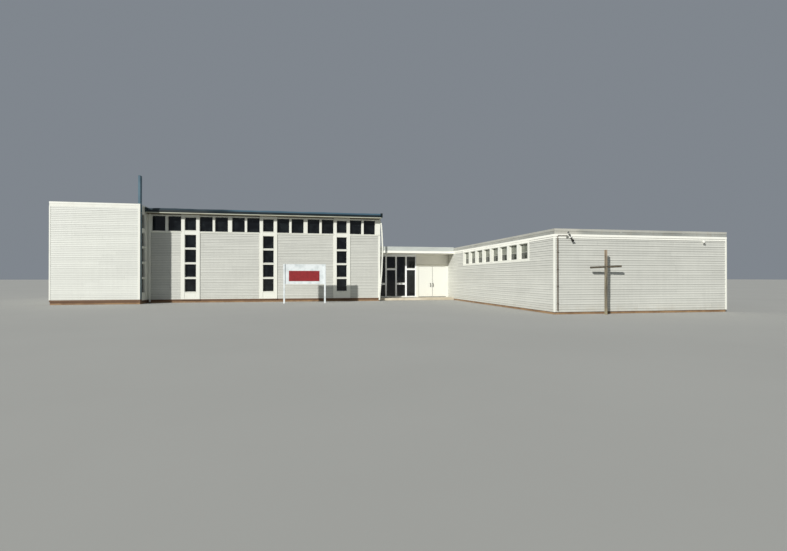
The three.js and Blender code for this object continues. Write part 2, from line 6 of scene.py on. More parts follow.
import bpy
import numpy as np
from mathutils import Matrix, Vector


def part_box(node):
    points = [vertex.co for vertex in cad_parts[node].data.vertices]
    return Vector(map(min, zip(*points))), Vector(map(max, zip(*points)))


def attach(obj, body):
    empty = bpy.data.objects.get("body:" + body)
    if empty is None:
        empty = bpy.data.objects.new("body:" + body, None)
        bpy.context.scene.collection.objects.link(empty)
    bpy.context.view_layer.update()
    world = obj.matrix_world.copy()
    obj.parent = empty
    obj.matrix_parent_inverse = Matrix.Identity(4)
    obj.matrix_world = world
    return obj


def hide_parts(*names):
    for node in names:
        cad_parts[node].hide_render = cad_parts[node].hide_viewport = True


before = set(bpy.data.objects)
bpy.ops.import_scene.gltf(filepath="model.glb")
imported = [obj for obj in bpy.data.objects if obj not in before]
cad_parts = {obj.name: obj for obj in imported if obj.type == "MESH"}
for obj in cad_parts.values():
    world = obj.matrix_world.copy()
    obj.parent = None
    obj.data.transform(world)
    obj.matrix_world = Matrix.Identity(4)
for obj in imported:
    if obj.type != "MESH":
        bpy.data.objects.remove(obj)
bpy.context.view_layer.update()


# Floor slabs
# Concrete poured on the ground under all the rooms: its edge shows as a low stained strip under the siding,
# and the top of that strip is red-brown, partly rust stain and partly painted shade from the siding's lip.
# In front of the doors a separate step was poured in three fields with tooled joints between them.
class Finish:
    """A node material built one node at a time around one principled shader, and the name of its slot."""

    def __init__(self, name, seen, roughness, slot=None, **more):
        self.slot = slot
        self.material = bpy.data.materials.new(name)
        self.material.use_nodes = True
        self.tree = self.material.node_tree
        self.shader = self.tree.nodes["Principled BSDF"]
        self.color = self.paint(*seen)
        for socket, value in {"Base Color": self.color, "Roughness": roughness, **more}.items():
            self.shader.inputs[socket].default_value = value

    @staticmethod
    def paint(red, green, blue):
        """The linear colour of a paint that is seen as these three display values."""
        seen = np.array([red, green, blue]) / 255.0
        return (*(((seen + 0.055) / 1.055) ** 2.4).tolist(), 1.0)

    def node(self, kind, inputs, **settings):
        """A new shader node with its settings; each input takes a value, or a link where it is a socket."""
        made = self.tree.nodes.new("ShaderNode" + kind)
        for key, value in settings.items():
            setattr(made, key, value)
        for key, value in inputs.items():
            if isinstance(value, bpy.types.NodeSocket):
                self.tree.links.new(value, made.inputs[key])
            else:
                made.inputs[key].default_value = value
        return made

    def place(self, scale=(1.0, 1.0, 1.0)):
        """Object coordinates, scaled along each direction."""
        where = self.node("TexCoord", {}).outputs["Object"]
        return self.node("Mapping", {"Vector": where, "Scale": scale}).outputs["Vector"]

    def axis(self, name):
        """One of the three object coordinates."""
        return self.node("SeparateXYZ", {"Vector": self.place()}).outputs[name]

    def math(self, operation, a, b=0.0):
        """Two values put through one operation."""
        return self.node("Math", {0: a, 1: b}, operation=operation).outputs[0]

    def product(self, value, *others):
        """All the values multiplied together."""
        for other in others:
            value = self.math("MULTIPLY", value, other)
        return value

    def noise(self, size, stretch=(1.0, 1.0, 1.0), detail=4.0):
        """Cloudy noise with patches of this size in metres, drawn out along a direction by its stretch."""
        scale = tuple(1.0 / (size * s) for s in stretch)
        inputs = {"Vector": self.place(scale), "Scale": 1.0, "Detail": detail, "Roughness": 0.55}
        return self.node("TexNoise", inputs).outputs[0]

    def ramp(self, value, low, high, start=0.0, end=1.0):
        """A smooth step from start to end while the value goes from low to high."""
        inputs = {0: value, 1: low, 2: high, 3: start, 4: end}
        return self.node("MapRange", inputs, interpolation_type="SMOOTHSTEP").outputs[0]

    def spread(self, noise, start, end):
        """Noise, which lies mostly between 0.3 and 0.7, stretched to run from start to end."""
        return self.ramp(noise, 0.3, 0.7, start, end)

    def mixed(self, factor, a, b, how="MIX"):
        """Colour a with a share of colour b."""
        return self.node("Mix", {0: factor, 6: a, 7: b}, data_type="RGBA", blend_type=how).outputs[2]

    def toned(self, value, low, high, seen, most=1.0, color=None):
        """The finish's own colour, or another, turning to this paint as the value goes from low to high."""
        share = self.ramp(value, low, high, 0.0, most)
        return self.mixed(share, self.color if color is None else color, self.paint(*seen))

    def shaded(self, color, value):
        """A colour made lighter or darker by a value about one."""
        grey = self.node("CombineXYZ", {0: value, 1: value, 2: value}).outputs[0]
        return self.mixed(1.0, color, grey, how="MULTIPLY")

    def use(self, color=None, roughness=None, height=None, depth=0.001):
        """Links the colour, the roughness and a bump of this depth in metres to the shader."""
        normal = None
        if height is not None:
            bump = self.node("Bump", {"Strength": 1.0, "Distance": depth, "Height": height})
            normal = bump.outputs["Normal"]
        for socket, value in (("Base Color", color), ("Roughness", roughness), ("Normal", normal)):
            if value is not None:
                self.tree.links.new(value, self.shader.inputs[socket])
        return self

    def mottled(self, size, start, end, stretch=(1.0, 1.0, 1.0)):
        """The finish's own colour, made darker and lighter from start to end by noise of this size."""
        return self.use(self.shaded(self.color, self.spread(self.noise(size, stretch), start, end)))


def dress(finish, *nodes):
    """Gives a finish to pieces whose shape is already right."""
    for node in nodes:
        for material_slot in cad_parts[node].material_slots:
            material_slot.material = finish.material


def shell(name, shape, finish, *stands_for, body="root", slot=None):
    """A closed mesh piece from a shape: an array of points and a list of faces."""
    mesh = bpy.data.meshes.new(name)
    mesh.from_pydata(shape[0].tolist(), [], shape[1])
    mesh.materials.append(finish.material)
    piece = bpy.data.objects.new(name, mesh)
    bpy.context.scene.collection.objects.link(piece)
    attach(piece, body)
    if stands_for:
        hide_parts(*stands_for)


CORNERS = np.array(list(itertools.product((0, 1), repeat=3)))
DRAWN_IN = (1 - 2 * CORNERS)[:, None] * (1 - np.eye(3))


def chamfer_faces():
    """The 26 faces of one box whose every corner is three points: for each direction, the points that reach
    furthest along it, in the order of their angle about it."""
    unit = (CORNERS[:, None] - 0.5 + 0.1 * DRAWN_IN).reshape(-1, 3)
    faces = []
    for direction in itertools.product((-1, 0, 1), repeat=3):
        if any(direction):
            reach = unit @ direction
            face = np.flatnonzero(reach > reach.max() - 1e-6)
            ring = unit[face] - unit[face].mean(0)
            angle = np.arctan2(ring @ np.cross(direction, ring[0]), ring @ ring[0] * math.hypot(*direction))
            faces.append(face[np.argsort(angle)].tolist())
    return faces


CHAMFER_FACES = chamfer_faces()


def chamfered(boxes, chamfer):
    """Boxes (x0, x1, y0, y1, z0, z1) with their edges cut off: each corner becomes three points, one on each
    of its faces, drawn in by the chamfer along the two directions of that face."""
    sides = np.asarray(boxes, float).reshape(-1, 3, 2)
    low, size = sides[:, :, 0], sides[:, :, 1] - sides[:, :, 0]
    inset = np.minimum(chamfer, 0.3 * size.min(1))[:, None, None, None]
    points = (low[:, None] + size[:, None] * CORNERS)[:, :, None] + inset * DRAWN_IN
    faces = [[24 * n + spot for spot in face] for n in range(len(sides)) for face in CHAMFER_FACES]
    return points.reshape(-1, 3), faces


def boards(name, boxes, finish, *stands_for, chamfer=0.003, **rest):
    """Boxes with cut edges as one piece."""
    shell(name, chamfered(boxes, chamfer), finish, *stands_for, **rest)


def parted(start, end, number, gap):
    """Equal parts of a length as (start, end), each ending a gap before the next one starts."""
    edges = np.linspace(start, end, number + 1)
    return list(zip(edges[:-1], edges[1:] - gap))


CONCRETE = Finish("concrete", (156, 127, 92), 0.9, "concrete")
speckle = CONCRETE.noise(0.012, detail=6.0)
stains_and_painted_shade = CONCRETE.toned(CONCRETE.noise(0.8), 0.35, 0.7, (130, 102, 71), color=Finish.paint(160, 131, 95))
# Red-brown band at the top of the slab edge, just under the siding: rust stain and painted shade of the
# siding's lip.
stain_and_shade_reach = CONCRETE.math("ADD", CONCRETE.axis("Z"), CONCRETE.product(CONCRETE.noise(0.4), 0.05))
rust_stain_and_painted_shade = CONCRETE.ramp(stain_and_shade_reach, 0.085, 0.105, 0.15, 0.9)
stains_and_painted_shade = CONCRETE.mixed(rust_stain_and_painted_shade, stains_and_painted_shade, Finish.paint(106, 80, 62))
CONCRETE.use(CONCRETE.shaded(stains_and_painted_shade, CONCRETE.spread(speckle, 0.86, 1.08)), height=speckle, depth=0.002)
dress(CONCRETE, "floor_slab")

BRUSHED = Finish("brushed_concrete", (205, 196, 176), 0.9, "concrete")
BRUSHED.use(BRUSHED.toned(BRUSHED.noise(0.7), 0.35, 0.7, (186, 176, 154), color=Finish.paint(209, 200, 180)),
            height=BRUSHED.noise(0.006, (30.0, 1.0, 1.0), 2.0), depth=0.0015)
JOINT = 0.006
step_low, step_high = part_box("porch_slab")
boards("porch_step", [(a, b, step_low.y, step_high.y, 0.0, step_high.z) for a, b in
                      parted(step_low.x + JOINT / 2, step_high.x + JOINT / 2, 3, JOINT)],
       BRUSHED, "porch_slab", chamfer=0.012)


# Block walls
# Framed walls faced with white siding between flat corner boards: sheets eight inches high, each folded into
# two four inch laps, hooked over the sheet below so that its own lap stands out further than the middle one.
COURSE, HEAD, DRIP, SHEET = 0.1016, 0.002, 0.003, 3.66
SIDING_FOOT = 0.10
HALL_FOOT = SIDING_FOOT + COURSE
WHITE_LIPS = (0.0145, 0.0175)


def courses(low, high, lips):
    """The heights and stand-off of one field of laps: at the foot of a course it stands out by the lip of
    that course, and the stand-off falls in a straight line to its head, where the next lip drips over it."""
    ends = (np.array([low, high - 1e-6]) - SIDING_FOOT) / COURSE
    course = np.floor(ends + 1e-6).astype(int)
    lip = np.take(lips, course % 2)
    first, last = lip + (HEAD - lip) * (ends - course)
    number = np.arange(course[0] + 1, course[1] + 1)
    heights = np.concatenate([[low], np.repeat(SIDING_FOOT + COURSE * number, 2), [high]])
    heights[2:-1:2] -= DRIP
    steps = np.stack([np.full(len(number), HEAD), np.take(lips, number % 2)], 1).ravel()
    return heights, np.concatenate([[first], steps, [last]])


def tubed(points, closed=False, clockwise=False):
    """Faces between the neighbouring rings of a grid of points [station, around], and over both ends of an
    open run. Seen along the run the rings go counterclockwise, or else clockwise."""
    stations, around = points.shape[:2]
    index = np.arange(stations * around).reshape(stations, around)
    here, there = (index, np.roll(index, -1, 0)) if closed else (index[:-1], index[1:])
    quads = np.stack([here, there, np.roll(there, -1, 1), np.roll(here, -1, 1)], -1).reshape(-1, 4)
    ends = [] if closed else [index[0], index[-1, ::-1]]
    if clockwise:
        quads, ends = quads[:, [0, 3, 2, 1]], [end[::-1] for end in ends]
    return points.reshape(-1, 3), quads.tolist() + [end.tolist() for end in ends]


def gathered(*shapes):
    """Several shapes of points and faces as one."""
    points, faces, count = [], [], 0
    for some_points, some_faces in shapes:
        points.append(some_points)
        faces += [[spot + count for spot in face] for face in some_faces]
        count += len(some_points)
    return np.concatenate(points), faces


def lap_siding(name, finish, lips, fields):
    """Fields (facing, plane, start, end, low, high) of lap siding, each a closed shell on its wall face.
    Along the wall the lips wave by about a millimetre: a sum of three sines with a phase for each course."""
    shapes = []
    for facing, plane, start, end, low, high in fields:
        heights, out = courses(low, high, lips)
        along = np.linspace(start, end, max(2, int((end - start) / 0.45) + 1))
        if facing in ("+y", "-x"):
            along = along[::-1]
        course = np.floor((heights - SIDING_FOOT) / COURSE)
        along = along[:, None]
        wave = (np.sin(1.9 * along + 2.3 * course) + np.sin(4.7 * along - 1.7 * course)
                + np.sin(0.6 * along + 5.1 * course)) * 0.0006
        stand = np.pad(out + wave * (out > 0.008), ((0, 0), (1, 1)), constant_values=0.0005)
        across = plane + (stand if facing[0] == "+" else -stand)
        run, level = along + 0 * stand, np.pad(heights, 1, mode="edge") + 0 * stand
        placed = [run, across, level] if facing[1] == "y" else [across, run, level]
        shapes.append(tubed(np.stack(placed, -1)))
    shell(name, gathered(*shapes), finish)


def faced(facing, plane, pieces):
    """Boxes in the frame from (a0, a1, out0, out1, z0, z1), given along, out from and up a wall face."""
    sign = 1.0 if facing[0] == "+" else -1.0
    placed = []
    for a0, a1, out0, out1, z0, z1 in pieces:
        near, far = sorted((plane + sign * out0, plane + sign * out1))
        placed.append((a0, a1, near, far, z0, z1) if facing[1] == "y" else (near, far, a0, a1, z0, z1))
    return placed


def nailed(name, wall, pieces, finish, chamfer=0.003, **rest):
    """Boards on one wall (facing, plane)."""
    boards(name, faced(*wall, pieces), finish, chamfer=chamfer, **rest)


def upright(low, high, *plans):
    """Boxes of these plans (x0, x1, y0, y1) between two levels."""
    return [(*plan, low, high) for plan in plans]


def siding_finish(name, seen, slot, under):
    """Painted siding: sheets of one length, butted at places that a random number shifts for each sheet row,
    each sheet a shade of its own, with an embossed grain, faint dust, painted shade that darkens the paint
    to a share under each lap, and splashed earth at the foot."""
    finish = Finish(name, seen, 0.55, slot)
    along = finish.math("ADD", finish.axis("X"), finish.axis("Y"))
    level = finish.math("DIVIDE", finish.math("SUBTRACT", finish.axis("Z"), HALL_FOOT), COURSE)
    row = finish.math("FLOOR", finish.math("DIVIDE", level, 2.0))
    shift = finish.node("TexWhiteNoise", {"W": row}, noise_dimensions="1D").outputs[0]
    place = finish.math("ADD", finish.math("DIVIDE", along, SHEET), finish.product(shift, 7.0))
    number = finish.math("FLOOR", place)
    key = finish.node("CombineXYZ", {0: row, 1: number}).outputs[0]
    own = finish.node("TexWhiteNoise", {"Vector": key}, noise_dimensions="2D").outputs[0]
    butt = finish.math("LESS_THAN", finish.math("SUBTRACT", place, number), 0.003 / SHEET)
    dust = finish.noise(1.6, (1.0, 1.0, 0.6))
    streak = finish.noise(0.10, (1.0, 1.0, 14.0), 3.0)
    # The last factor below paints shade under each lap: just beneath each lap edge the paint darkens to the
    # share given by under.
    shade = finish.product(finish.ramp(own, 0.0, 1.0, 0.965, 1.03), finish.spread(dust, 0.965, 1.02),
                           finish.ramp(streak, 0.25, 0.75, 0.975, 1.015),
                           finish.ramp(butt, 0.0, 1.0, 1.0, 0.72),
                           finish.ramp(finish.math("FRACT", level), 0.83, 0.97, 1.0, under))
    splash = finish.product(finish.ramp(finish.axis("Z"), 0.11, 0.5, 1.0, 0.0),
                            finish.spread(finish.noise(0.25), 0.0, 0.2))
    color = finish.mixed(splash, finish.color, Finish.paint(170, 158, 132))
    grain = finish.noise(0.004, (22.0, 22.0, 1.0), 3.0)
    return finish.use(finish.shaded(color, shade), finish.spread(dust, 0.5, 0.64),
                      finish.math("SUBTRACT", grain, finish.product(butt, 4.0)), 0.0006)


LINING = Finish("wall_lining", (214, 211, 200), 0.8)
plaster = LINING.noise(0.02, detail=5.0)
LINING.use(LINING.shaded(LINING.color, LINING.spread(plaster, 0.97, 1.02)), height=plaster, depth=0.0008)
TRIM = Finish("white_trim_paint", (227, 228, 218), 0.42, "white_trim")
dirt = TRIM.noise(0.5, (1.0, 1.0, 2.5))
TRIM.use(TRIM.toned(dirt, 0.45, 0.8, (202, 200, 186), 0.35), TRIM.spread(dirt, 0.38, 0.52),
         TRIM.noise(0.003, (1.0, 1.0, 30.0), 2.0), 0.0004)
# The last value is the share that the painted shade under each lap darkens the paint to.
WHITE_SIDING = siding_finish("white_lap_siding", (212, 214, 206), "siding_white", 0.55)
dress(LINING, "block_front_wall", "block_left_wall")

BOARD, EDGE, PROUD = 0.10, 0.055, 0.0195
BASE_FOOT, BASE_TOP, BASE_OUT, BASE_CHAMFER = 0.148, 0.2, 0.006, 0.002
BLOCK_FOOT, BLOCK_TOP = 0.26, 5.45
block_low, block_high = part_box("block_front_wall")
left_x, inner_x, front_y = block_low.x, block_high.x, block_low.y
back_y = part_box("back_wall")[1].y
side_low, side_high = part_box("block_side_frame")
seam_low, seam_high = side_high.x - BOARD / 2, side_high.x + BOARD / 2
lap_siding("block_siding", WHITE_SIDING, WHITE_LIPS, [
    ("-y", front_y, left_x + EDGE, inner_x - 0.0005, BLOCK_FOOT, BLOCK_TOP),
    ("-x", left_x, front_y + BOARD, back_y - BOARD, BLOCK_FOOT, BLOCK_TOP),
    ("+y", back_y, left_x + BOARD, seam_low, BLOCK_FOOT, BLOCK_TOP),
])
boards("block_corner_boards", upright(
    BLOCK_FOOT, BLOCK_TOP,
    (left_x - PROUD, left_x + EDGE, front_y - PROUD, front_y),
    (left_x - PROUD, left_x, front_y, front_y + BOARD),
    (left_x - PROUD, left_x, back_y - BOARD, back_y),
    (left_x - PROUD, left_x + BOARD, back_y, back_y + PROUD),
    (seam_low, seam_high, back_y, back_y + PROUD)), TRIM)
boards("block_base_course", upright(
    BASE_FOOT, BLOCK_FOOT - 0.002,
    (left_x - BASE_OUT, inner_x, front_y - BASE_OUT, front_y),
    (left_x - BASE_OUT, left_x, front_y, back_y),
    (left_x - BASE_OUT, side_high.x, back_y, back_y + BASE_OUT)), CONCRETE, chamfer=BASE_CHAMFER)


# Block coping and roof deck
# A white frieze board under a folded metal coping with turned-down edges goes round three and a half sides.
# The deck lies sunk behind it, under a grey membrane welded in long strips.
def carried(profile, path, closed=False, lift=0.0):
    """A closed profile of (out, up) points carried along a path in plan and mitred at its turns: a point
    moves out along the sum of the normals on both sides of the turn, over one plus their product."""
    profile, path = np.asarray(profile, float), np.asarray(path, float)
    step = np.roll(path, -1, 0) - path
    if not closed:
        step[-1] = step[-2]
    step /= np.linalg.norm(step, axis=1)[:, None]
    normal = np.stack([step[:, 1], -step[:, 0]], 1)
    before = np.roll(normal, 1, 0)
    if not closed:
        before[0] = normal[0]
    mitre = (normal + before) / (1 + (normal * before).sum(1))[:, None]
    plan = path[:, None] + profile[:, :1] * mitre[:, None]
    level = profile[:, 1] + np.broadcast_to(lift, len(path))[:, None]
    return tubed(np.concatenate([plan, level[..., None]], -1), closed)


def stepped(path, step, closed=False):
    """The same path with a station at least every step."""
    path = np.asarray(path, float)
    stations = []
    for start, end in zip(path, np.roll(path, -1, 0) if closed else path[1:]):
        number = max(1, int(np.linalg.norm(end - start) / step))
        stations.append(start + (end - start) * (np.arange(number) / number)[:, None])
    return np.concatenate(stations + ([] if closed else [path[-1:]]))


coping_low, coping_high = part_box("block_coping")
mast_low, mast_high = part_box("corner_mast")
crown = coping_high.z
fold = crown - 0.105
shell("coping", carried([
    (-0.0205, coping_low.z), (-0.0205, BLOCK_TOP), (-0.008, BLOCK_TOP), (-0.008, fold),
    (-0.001, fold - 0.006), (0.0, fold + 0.010), (-0.004, crown - 0.012), (-0.012, crown - 0.004),
    (-0.060, crown), (-0.108, crown - 0.006), (-0.118, crown - 0.014), (-0.120, fold),
    (-0.108, fold - 0.01), (-0.108, coping_low.z),
], [
    (coping_high.x, mast_high.y + 0.0003), (coping_high.x, coping_high.y), (coping_low.x, coping_high.y),
    (coping_low.x, coping_low.y), (mast_low.x - 0.0003, coping_low.y),
]), TRIM, "block_coping")
boards("coping_side_board", upright(
    coping_low.z, BLOCK_TOP + 0.001,
    (coping_high.x - 0.0204, coping_high.x - 0.008, mast_high.y + 0.0003, coping_high.y - 0.021)), TRIM)

MEMBRANE = Finish("roof_membrane", (141, 141, 136), 0.85, "roof_membrane")
STRIP, WELD = 1.95, 0.045
weather = MEMBRANE.noise(1.2)
strip_place = MEMBRANE.math("FRACT", MEMBRANE.math("DIVIDE", MEMBRANE.axis("X"), STRIP))
weld = MEMBRANE.math("LESS_THAN", strip_place, WELD)
patchy = MEMBRANE.product(MEMBRANE.spread(weather, 0.82, 1.08), MEMBRANE.ramp(weld, 0.0, 1.0, 1.0, 0.88))
MEMBRANE.use(MEMBRANE.shaded(MEMBRANE.color, patchy), MEMBRANE.spread(weather, 0.86, 0.94),
             MEMBRANE.math("ADD", MEMBRANE.noise(0.01), MEMBRANE.product(weld, 2.0)), 0.002)
dress(MEMBRANE, "block_roof")


# Corner mast
# A painted square post as deep as two hands, standing on the ground at the block's corner and running
# on above the roof; it has a flat cap and stands in a concrete plinth.
# The post's dark blue-grey is partly its own grey paint and partly painted shade.
MAST_PAINT_AND_SHADE = Finish("mast_paint", (74, 106, 120), 0.5, "mast_paint")
wear = MAST_PAINT_AND_SHADE.noise(0.18, (1.0, 1.0, 5.0))
MAST_PAINT_AND_SHADE.use(MAST_PAINT_AND_SHADE.toned(wear, 0.4, 0.75, (60, 90, 106)), MAST_PAINT_AND_SHADE.spread(wear, 0.42, 0.62),
               wear, 0.0008)
CAP, CAP_OUT = 0.012, 0.004
boards("mast", [
    (mast_low.x, mast_high.x, mast_low.y, mast_high.y, 0.0, mast_high.z - CAP),
    (mast_low.x - CAP_OUT, mast_high.x + CAP_OUT, mast_low.y - CAP_OUT, mast_high.y + CAP_OUT,
     mast_high.z - CAP, mast_high.z),
], MAST_PAINT_AND_SHADE, "corner_mast", chamfer=0.006)
boards("mast_plinth", upright(
    0.0, BLOCK_FOOT - 0.002,
    (mast_low.x, mast_high.x + BASE_OUT, mast_low.y - BASE_OUT, mast_high.y)), CONCRETE, chamfer=0.004)
boards("mast_front_board", upright(
    BLOCK_FOOT, coping_high.z, (mast_low.x, mast_high.x, mast_low.y - PROUD, mast_low.y)), TRIM)


# Block side window strip
# Between the mast and the inner corner a white timber frame holds five dark panes one above the other.
# Each pane has thin beads and a sill with a nose, and dark gaskets hold the glass.
GLASS = Finish("dark_glass", (20, 22, 25), 0.06, "dark_glass", IOR=1.45)
BLIND_PITCH = 0.05
blind = GLASS.math("SINE", GLASS.product(GLASS.axis("Z"), 2 * math.pi / BLIND_PITCH))
room = GLASS.toned(GLASS.noise(0.5, detail=2.0), 0.35, 0.7, (25, 29, 31), color=Finish.paint(10, 12, 15))
GLASS.use(GLASS.shaded(room, GLASS.ramp(blind, -1.0, 1.0, 0.72, 1.25)),
          GLASS.ramp(GLASS.noise(0.3), 0.3, 0.8, 0.03, 0.12), GLASS.noise(0.9, detail=1.0), 0.0015)
GASKET = Finish("gasket", (52, 54, 56), 0.5, "pull_metal").mottled(0.05, 0.8, 1.15)

PANE_FOOT, PANE_PITCH, PANE_HEIGHT, HEAD_PANE = 0.65, 0.892, 0.78, (4.378, 5.172)
BEAD_WIDE, BEAD_DEEP, GASKET_WIDE, GASKET_THICK = 0.010, 0.024, 0.018, 0.006
PANE_LEVELS = [(PANE_FOOT + PANE_PITCH * n, PANE_FOOT + PANE_PITCH * n + PANE_HEIGHT) for n in range(4)]
PANE_LEVELS.append(HEAD_PANE)


def ringed(a0, a1, z0, z1, width, out0, out1):
    """Four strips of this width along the inside of an opening, the level ones between the upright ones."""
    return [(a0, a0 + width, out0, out1, z0, z1), (a1 - width, a1, out0, out1, z0, z1),
            (a0 + width, a1 - width, out0, out1, z0, z0 + width),
            (a0 + width, a1 - width, out0, out1, z1 - width, z1)]


def pane_fittings(name, wall, panes, depth):
    """Beads and gaskets round panes (a0, a1, z0, z1) whose glass lies this deep behind the wall, with a nose
    on the sill of each."""
    bed = GASKET_THICK - depth
    beads = [strip for pane in panes for strip in ringed(*pane, BEAD_WIDE, bed, bed + BEAD_DEEP)]
    gaskets = [strip for pane in panes for strip in ringed(*pane, GASKET_WIDE, -depth, bed)]
    noses = [(a0 - 0.02, a1 + 0.02, 0.0, 0.032, z0 - 0.034, z0 - 0.004) for a0, a1, z0, _ in panes]
    nailed(name + "_beads", wall, beads, TRIM, 0.004)
    nailed(name + "_gaskets", wall, gaskets, GASKET, 0.001)
    nailed(name + "_sills", wall, noses, TRIM, 0.006)


dress(GLASS, "block_side_glass", "hall_front_glass", "back_glass", "entrance_glass")
dress(TRIM, "block_side_frame")
side_wall = ("+x", side_high.x)
glass_low, glass_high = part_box("block_side_glass")
side_a0, side_a1 = glass_low.y + 0.02, glass_high.y - 0.02
hall_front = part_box("hall_front_panel_1")[0].y
pane_fittings("side_strip", side_wall, [(side_a0, side_a1, *level) for level in PANE_LEVELS],
              side_high.x - glass_high.x)
nailed("side_strip_post", side_wall, [
    (side_a1 + 0.03, hall_front - 0.03, 0.0, 0.014, HALL_FOOT, side_high.z)], TRIM, 0.004)
nailed("side_strip_base", side_wall, [
    (side_low.y, hall_front - 0.026, 0.0, 0.016, BASE_FOOT, BASE_TOP)], CONCRETE, BASE_CHAMFER)


# Hall front siding
# Four panels of the same siding in light grey fill the bays between the window strips.
# The outer corner has a wide white board on both faces.
# The last value is the share that the painted shade under each lap darkens the paint to.
GREY_SIDING = siding_finish("grey_lap_siding", (197, 198, 190), "siding_grey", 0.34)
GREY_LIPS = (0.0085, 0.018)
PANELS = [f"hall_front_panel_{n}" for n in (1, 2, 3, 4)]
dress(LINING, *PANELS)
panels = [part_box(panel) for panel in PANELS]
hall_left, hall_right, foot, sill_z = panels[0][0].x, panels[3][1].x, panels[0][0].z, panels[0][1].z
RIGHT_CORNER, LEFT_CORNER = 0.12, 0.13
spans = [[low.x + 0.012, high.x - 0.012] for low, high in panels]
spans[0][0] = hall_left + LEFT_CORNER
spans[3][1] = hall_right - RIGHT_CORNER
lap_siding("hall_front_siding", GREY_SIDING, GREY_LIPS,
           [("-y", hall_front, start, end, HALL_FOOT, sill_z) for start, end in spans])
boards("hall_base_course", upright(BASE_FOOT, BASE_TOP, *[
    (low.x, high.x, hall_front - BASE_OUT, hall_front) for low, high in panels]),
       CONCRETE, chamfer=BASE_CHAMFER)


# Hall bay frames
# One white timber frame a bay: two posts run from the slab to the soffit beside a strip of panes, rails
# cross between them, and high windows stand beside the head on a long sill board with a nose.
def piers(start, end, windows):
    """What is left of a length between its windows, as (start, end)."""
    cuts = [start, *itertools.chain(*windows), end]
    return list(zip(cuts[::2], cuts[1::2]))


def along(pieces, *section):
    """A board of one section (out0, out1, z0, z1) along each (start, end)."""
    return [(start, end, *section) for start, end in pieces]


POST_OUT, POST_IN = 0.545, 0.325
HIGH_BOTTOM, HIGH_TOP, HIGH_WIDTH, HIGH_OFFSETS = 4.318, 5.227, 0.755, (-1.79, -0.90, 0.90, 1.79)
POST_TOP = HIGH_OFFSETS[2] - HIGH_WIDTH / 2
FIRST_RAIL, KICK = 0.56, HALL_FOOT + 0.09
NOSE_FOOT, NOSE_TOP = HIGH_BOTTOM - 0.03, HIGH_BOTTOM - 0.002
FRAMES = ("bay_frame_1", "bay_frame_2", "bay_frame_3")
dress(TRIM, *FRAMES)
frames = [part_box(name) for name in FRAMES]
frame_left, frame_right = frames[0][0].x, frames[2][1].x
frame_y, head_z = frames[1][0].y, frames[1][1].z - 0.002
hall_face = ("-y", frame_y)
strips = [(left[1].x + right[0].x) / 2 for left, right in zip(panels, panels[1:])]
windows = [(centre + offset - HIGH_WIDTH / 2, centre + offset + HIGH_WIDTH / 2)
           for centre in strips for offset in HIGH_OFFSETS]
posts, rails, lower, heads = [], [], [], []
for centre in strips:
    for edge in (-1, 1):
        for outer, low, high in ((POST_OUT, HALL_FOOT, sill_z), (POST_TOP, sill_z, head_z)):
            posts.append((*sorted((centre + edge * POST_IN, centre + edge * outer)), 0.0, 0.014, low, high))
    a0, a1 = centre - POST_IN, centre + POST_IN
    rails += [(a0, a1, 0.0, 0.006, *level) for level in piers(FIRST_RAIL, head_z, PANE_LEVELS)[:-1]]
    lower += [(a0, a1, 0.0, 0.009, HALL_FOOT, KICK), (a0 + 0.05, a1 - 0.05, 0.0, 0.005, KICK, FIRST_RAIL)]
    heads.append((a0, a1, 0.0, 0.008, HEAD_PANE[1], head_z))
strip_spans = [(centre - POST_TOP, centre + POST_TOP) for centre in strips]
bays = piers(frame_left, frame_right, strip_spans)
narrow = [(a0, a1) for a0, a1 in piers(frame_left, frame_right, sorted(windows + strip_spans))
          if a1 - a0 > 0.02]
heads += along(bays, 0.0, 0.016, HIGH_TOP, head_z)
nailed("strip_posts", hall_face, posts, TRIM, 0.004)
nailed("strip_base_course", hall_face, [
    (centre - POST_OUT, centre + POST_OUT, 0.0, 0.016, BASE_FOOT, BASE_TOP) for centre in strips],
       CONCRETE, BASE_CHAMFER)
nailed("strip_rails", hall_face, rails, TRIM)
nailed("strip_foot_panels", hall_face, lower, TRIM)
# A dark strip along the tops of the frames, just under the soffit, is painted shadow where the eave meets
# the wall.
nailed("soffit_painted_shadow_strip", hall_face, along(bays, 0.0162, 0.0175, head_z - 0.034, head_z - 0.002), GASKET, 0.0005)
nailed("high_window_posts", hall_face, along(narrow, 0.0, 0.010, HIGH_BOTTOM, HIGH_TOP) + heads, TRIM)
nailed("hall_sill_board", hall_face, along(bays, 0.0, 0.012, sill_z + 0.002, NOSE_FOOT)
       + along(bays, 0.0, 0.040, NOSE_FOOT, NOSE_TOP), TRIM, 0.004)
glass_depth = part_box("hall_front_glass")[0].y - frame_y
strip_panes = [(centre - POST_IN, centre + POST_IN, *level) for centre in strips for level in PANE_LEVELS]
high_panes = [(*window, HIGH_BOTTOM, HIGH_TOP) for window in windows]
pane_fittings("high_window", hall_face, high_panes, glass_depth)
pane_fittings("strip", hall_face, strip_panes, glass_depth)
boards("hall_corner_boards", [
    (hall_right - RIGHT_CORNER, hall_right + PROUD, hall_front - PROUD, hall_front, HALL_FOOT, sill_z),
    *upright(HALL_FOOT, head_z,
             (hall_right, hall_right + PROUD, hall_front, hall_front + BOARD),
             (hall_right, hall_right + PROUD, back_y - BOARD, back_y),
             (hall_right - BOARD, hall_right + PROUD, back_y, back_y + PROUD)),
    (hall_left, hall_left + LEFT_CORNER, hall_front - PROUD, hall_front, HALL_FOOT, sill_z),
], TRIM)


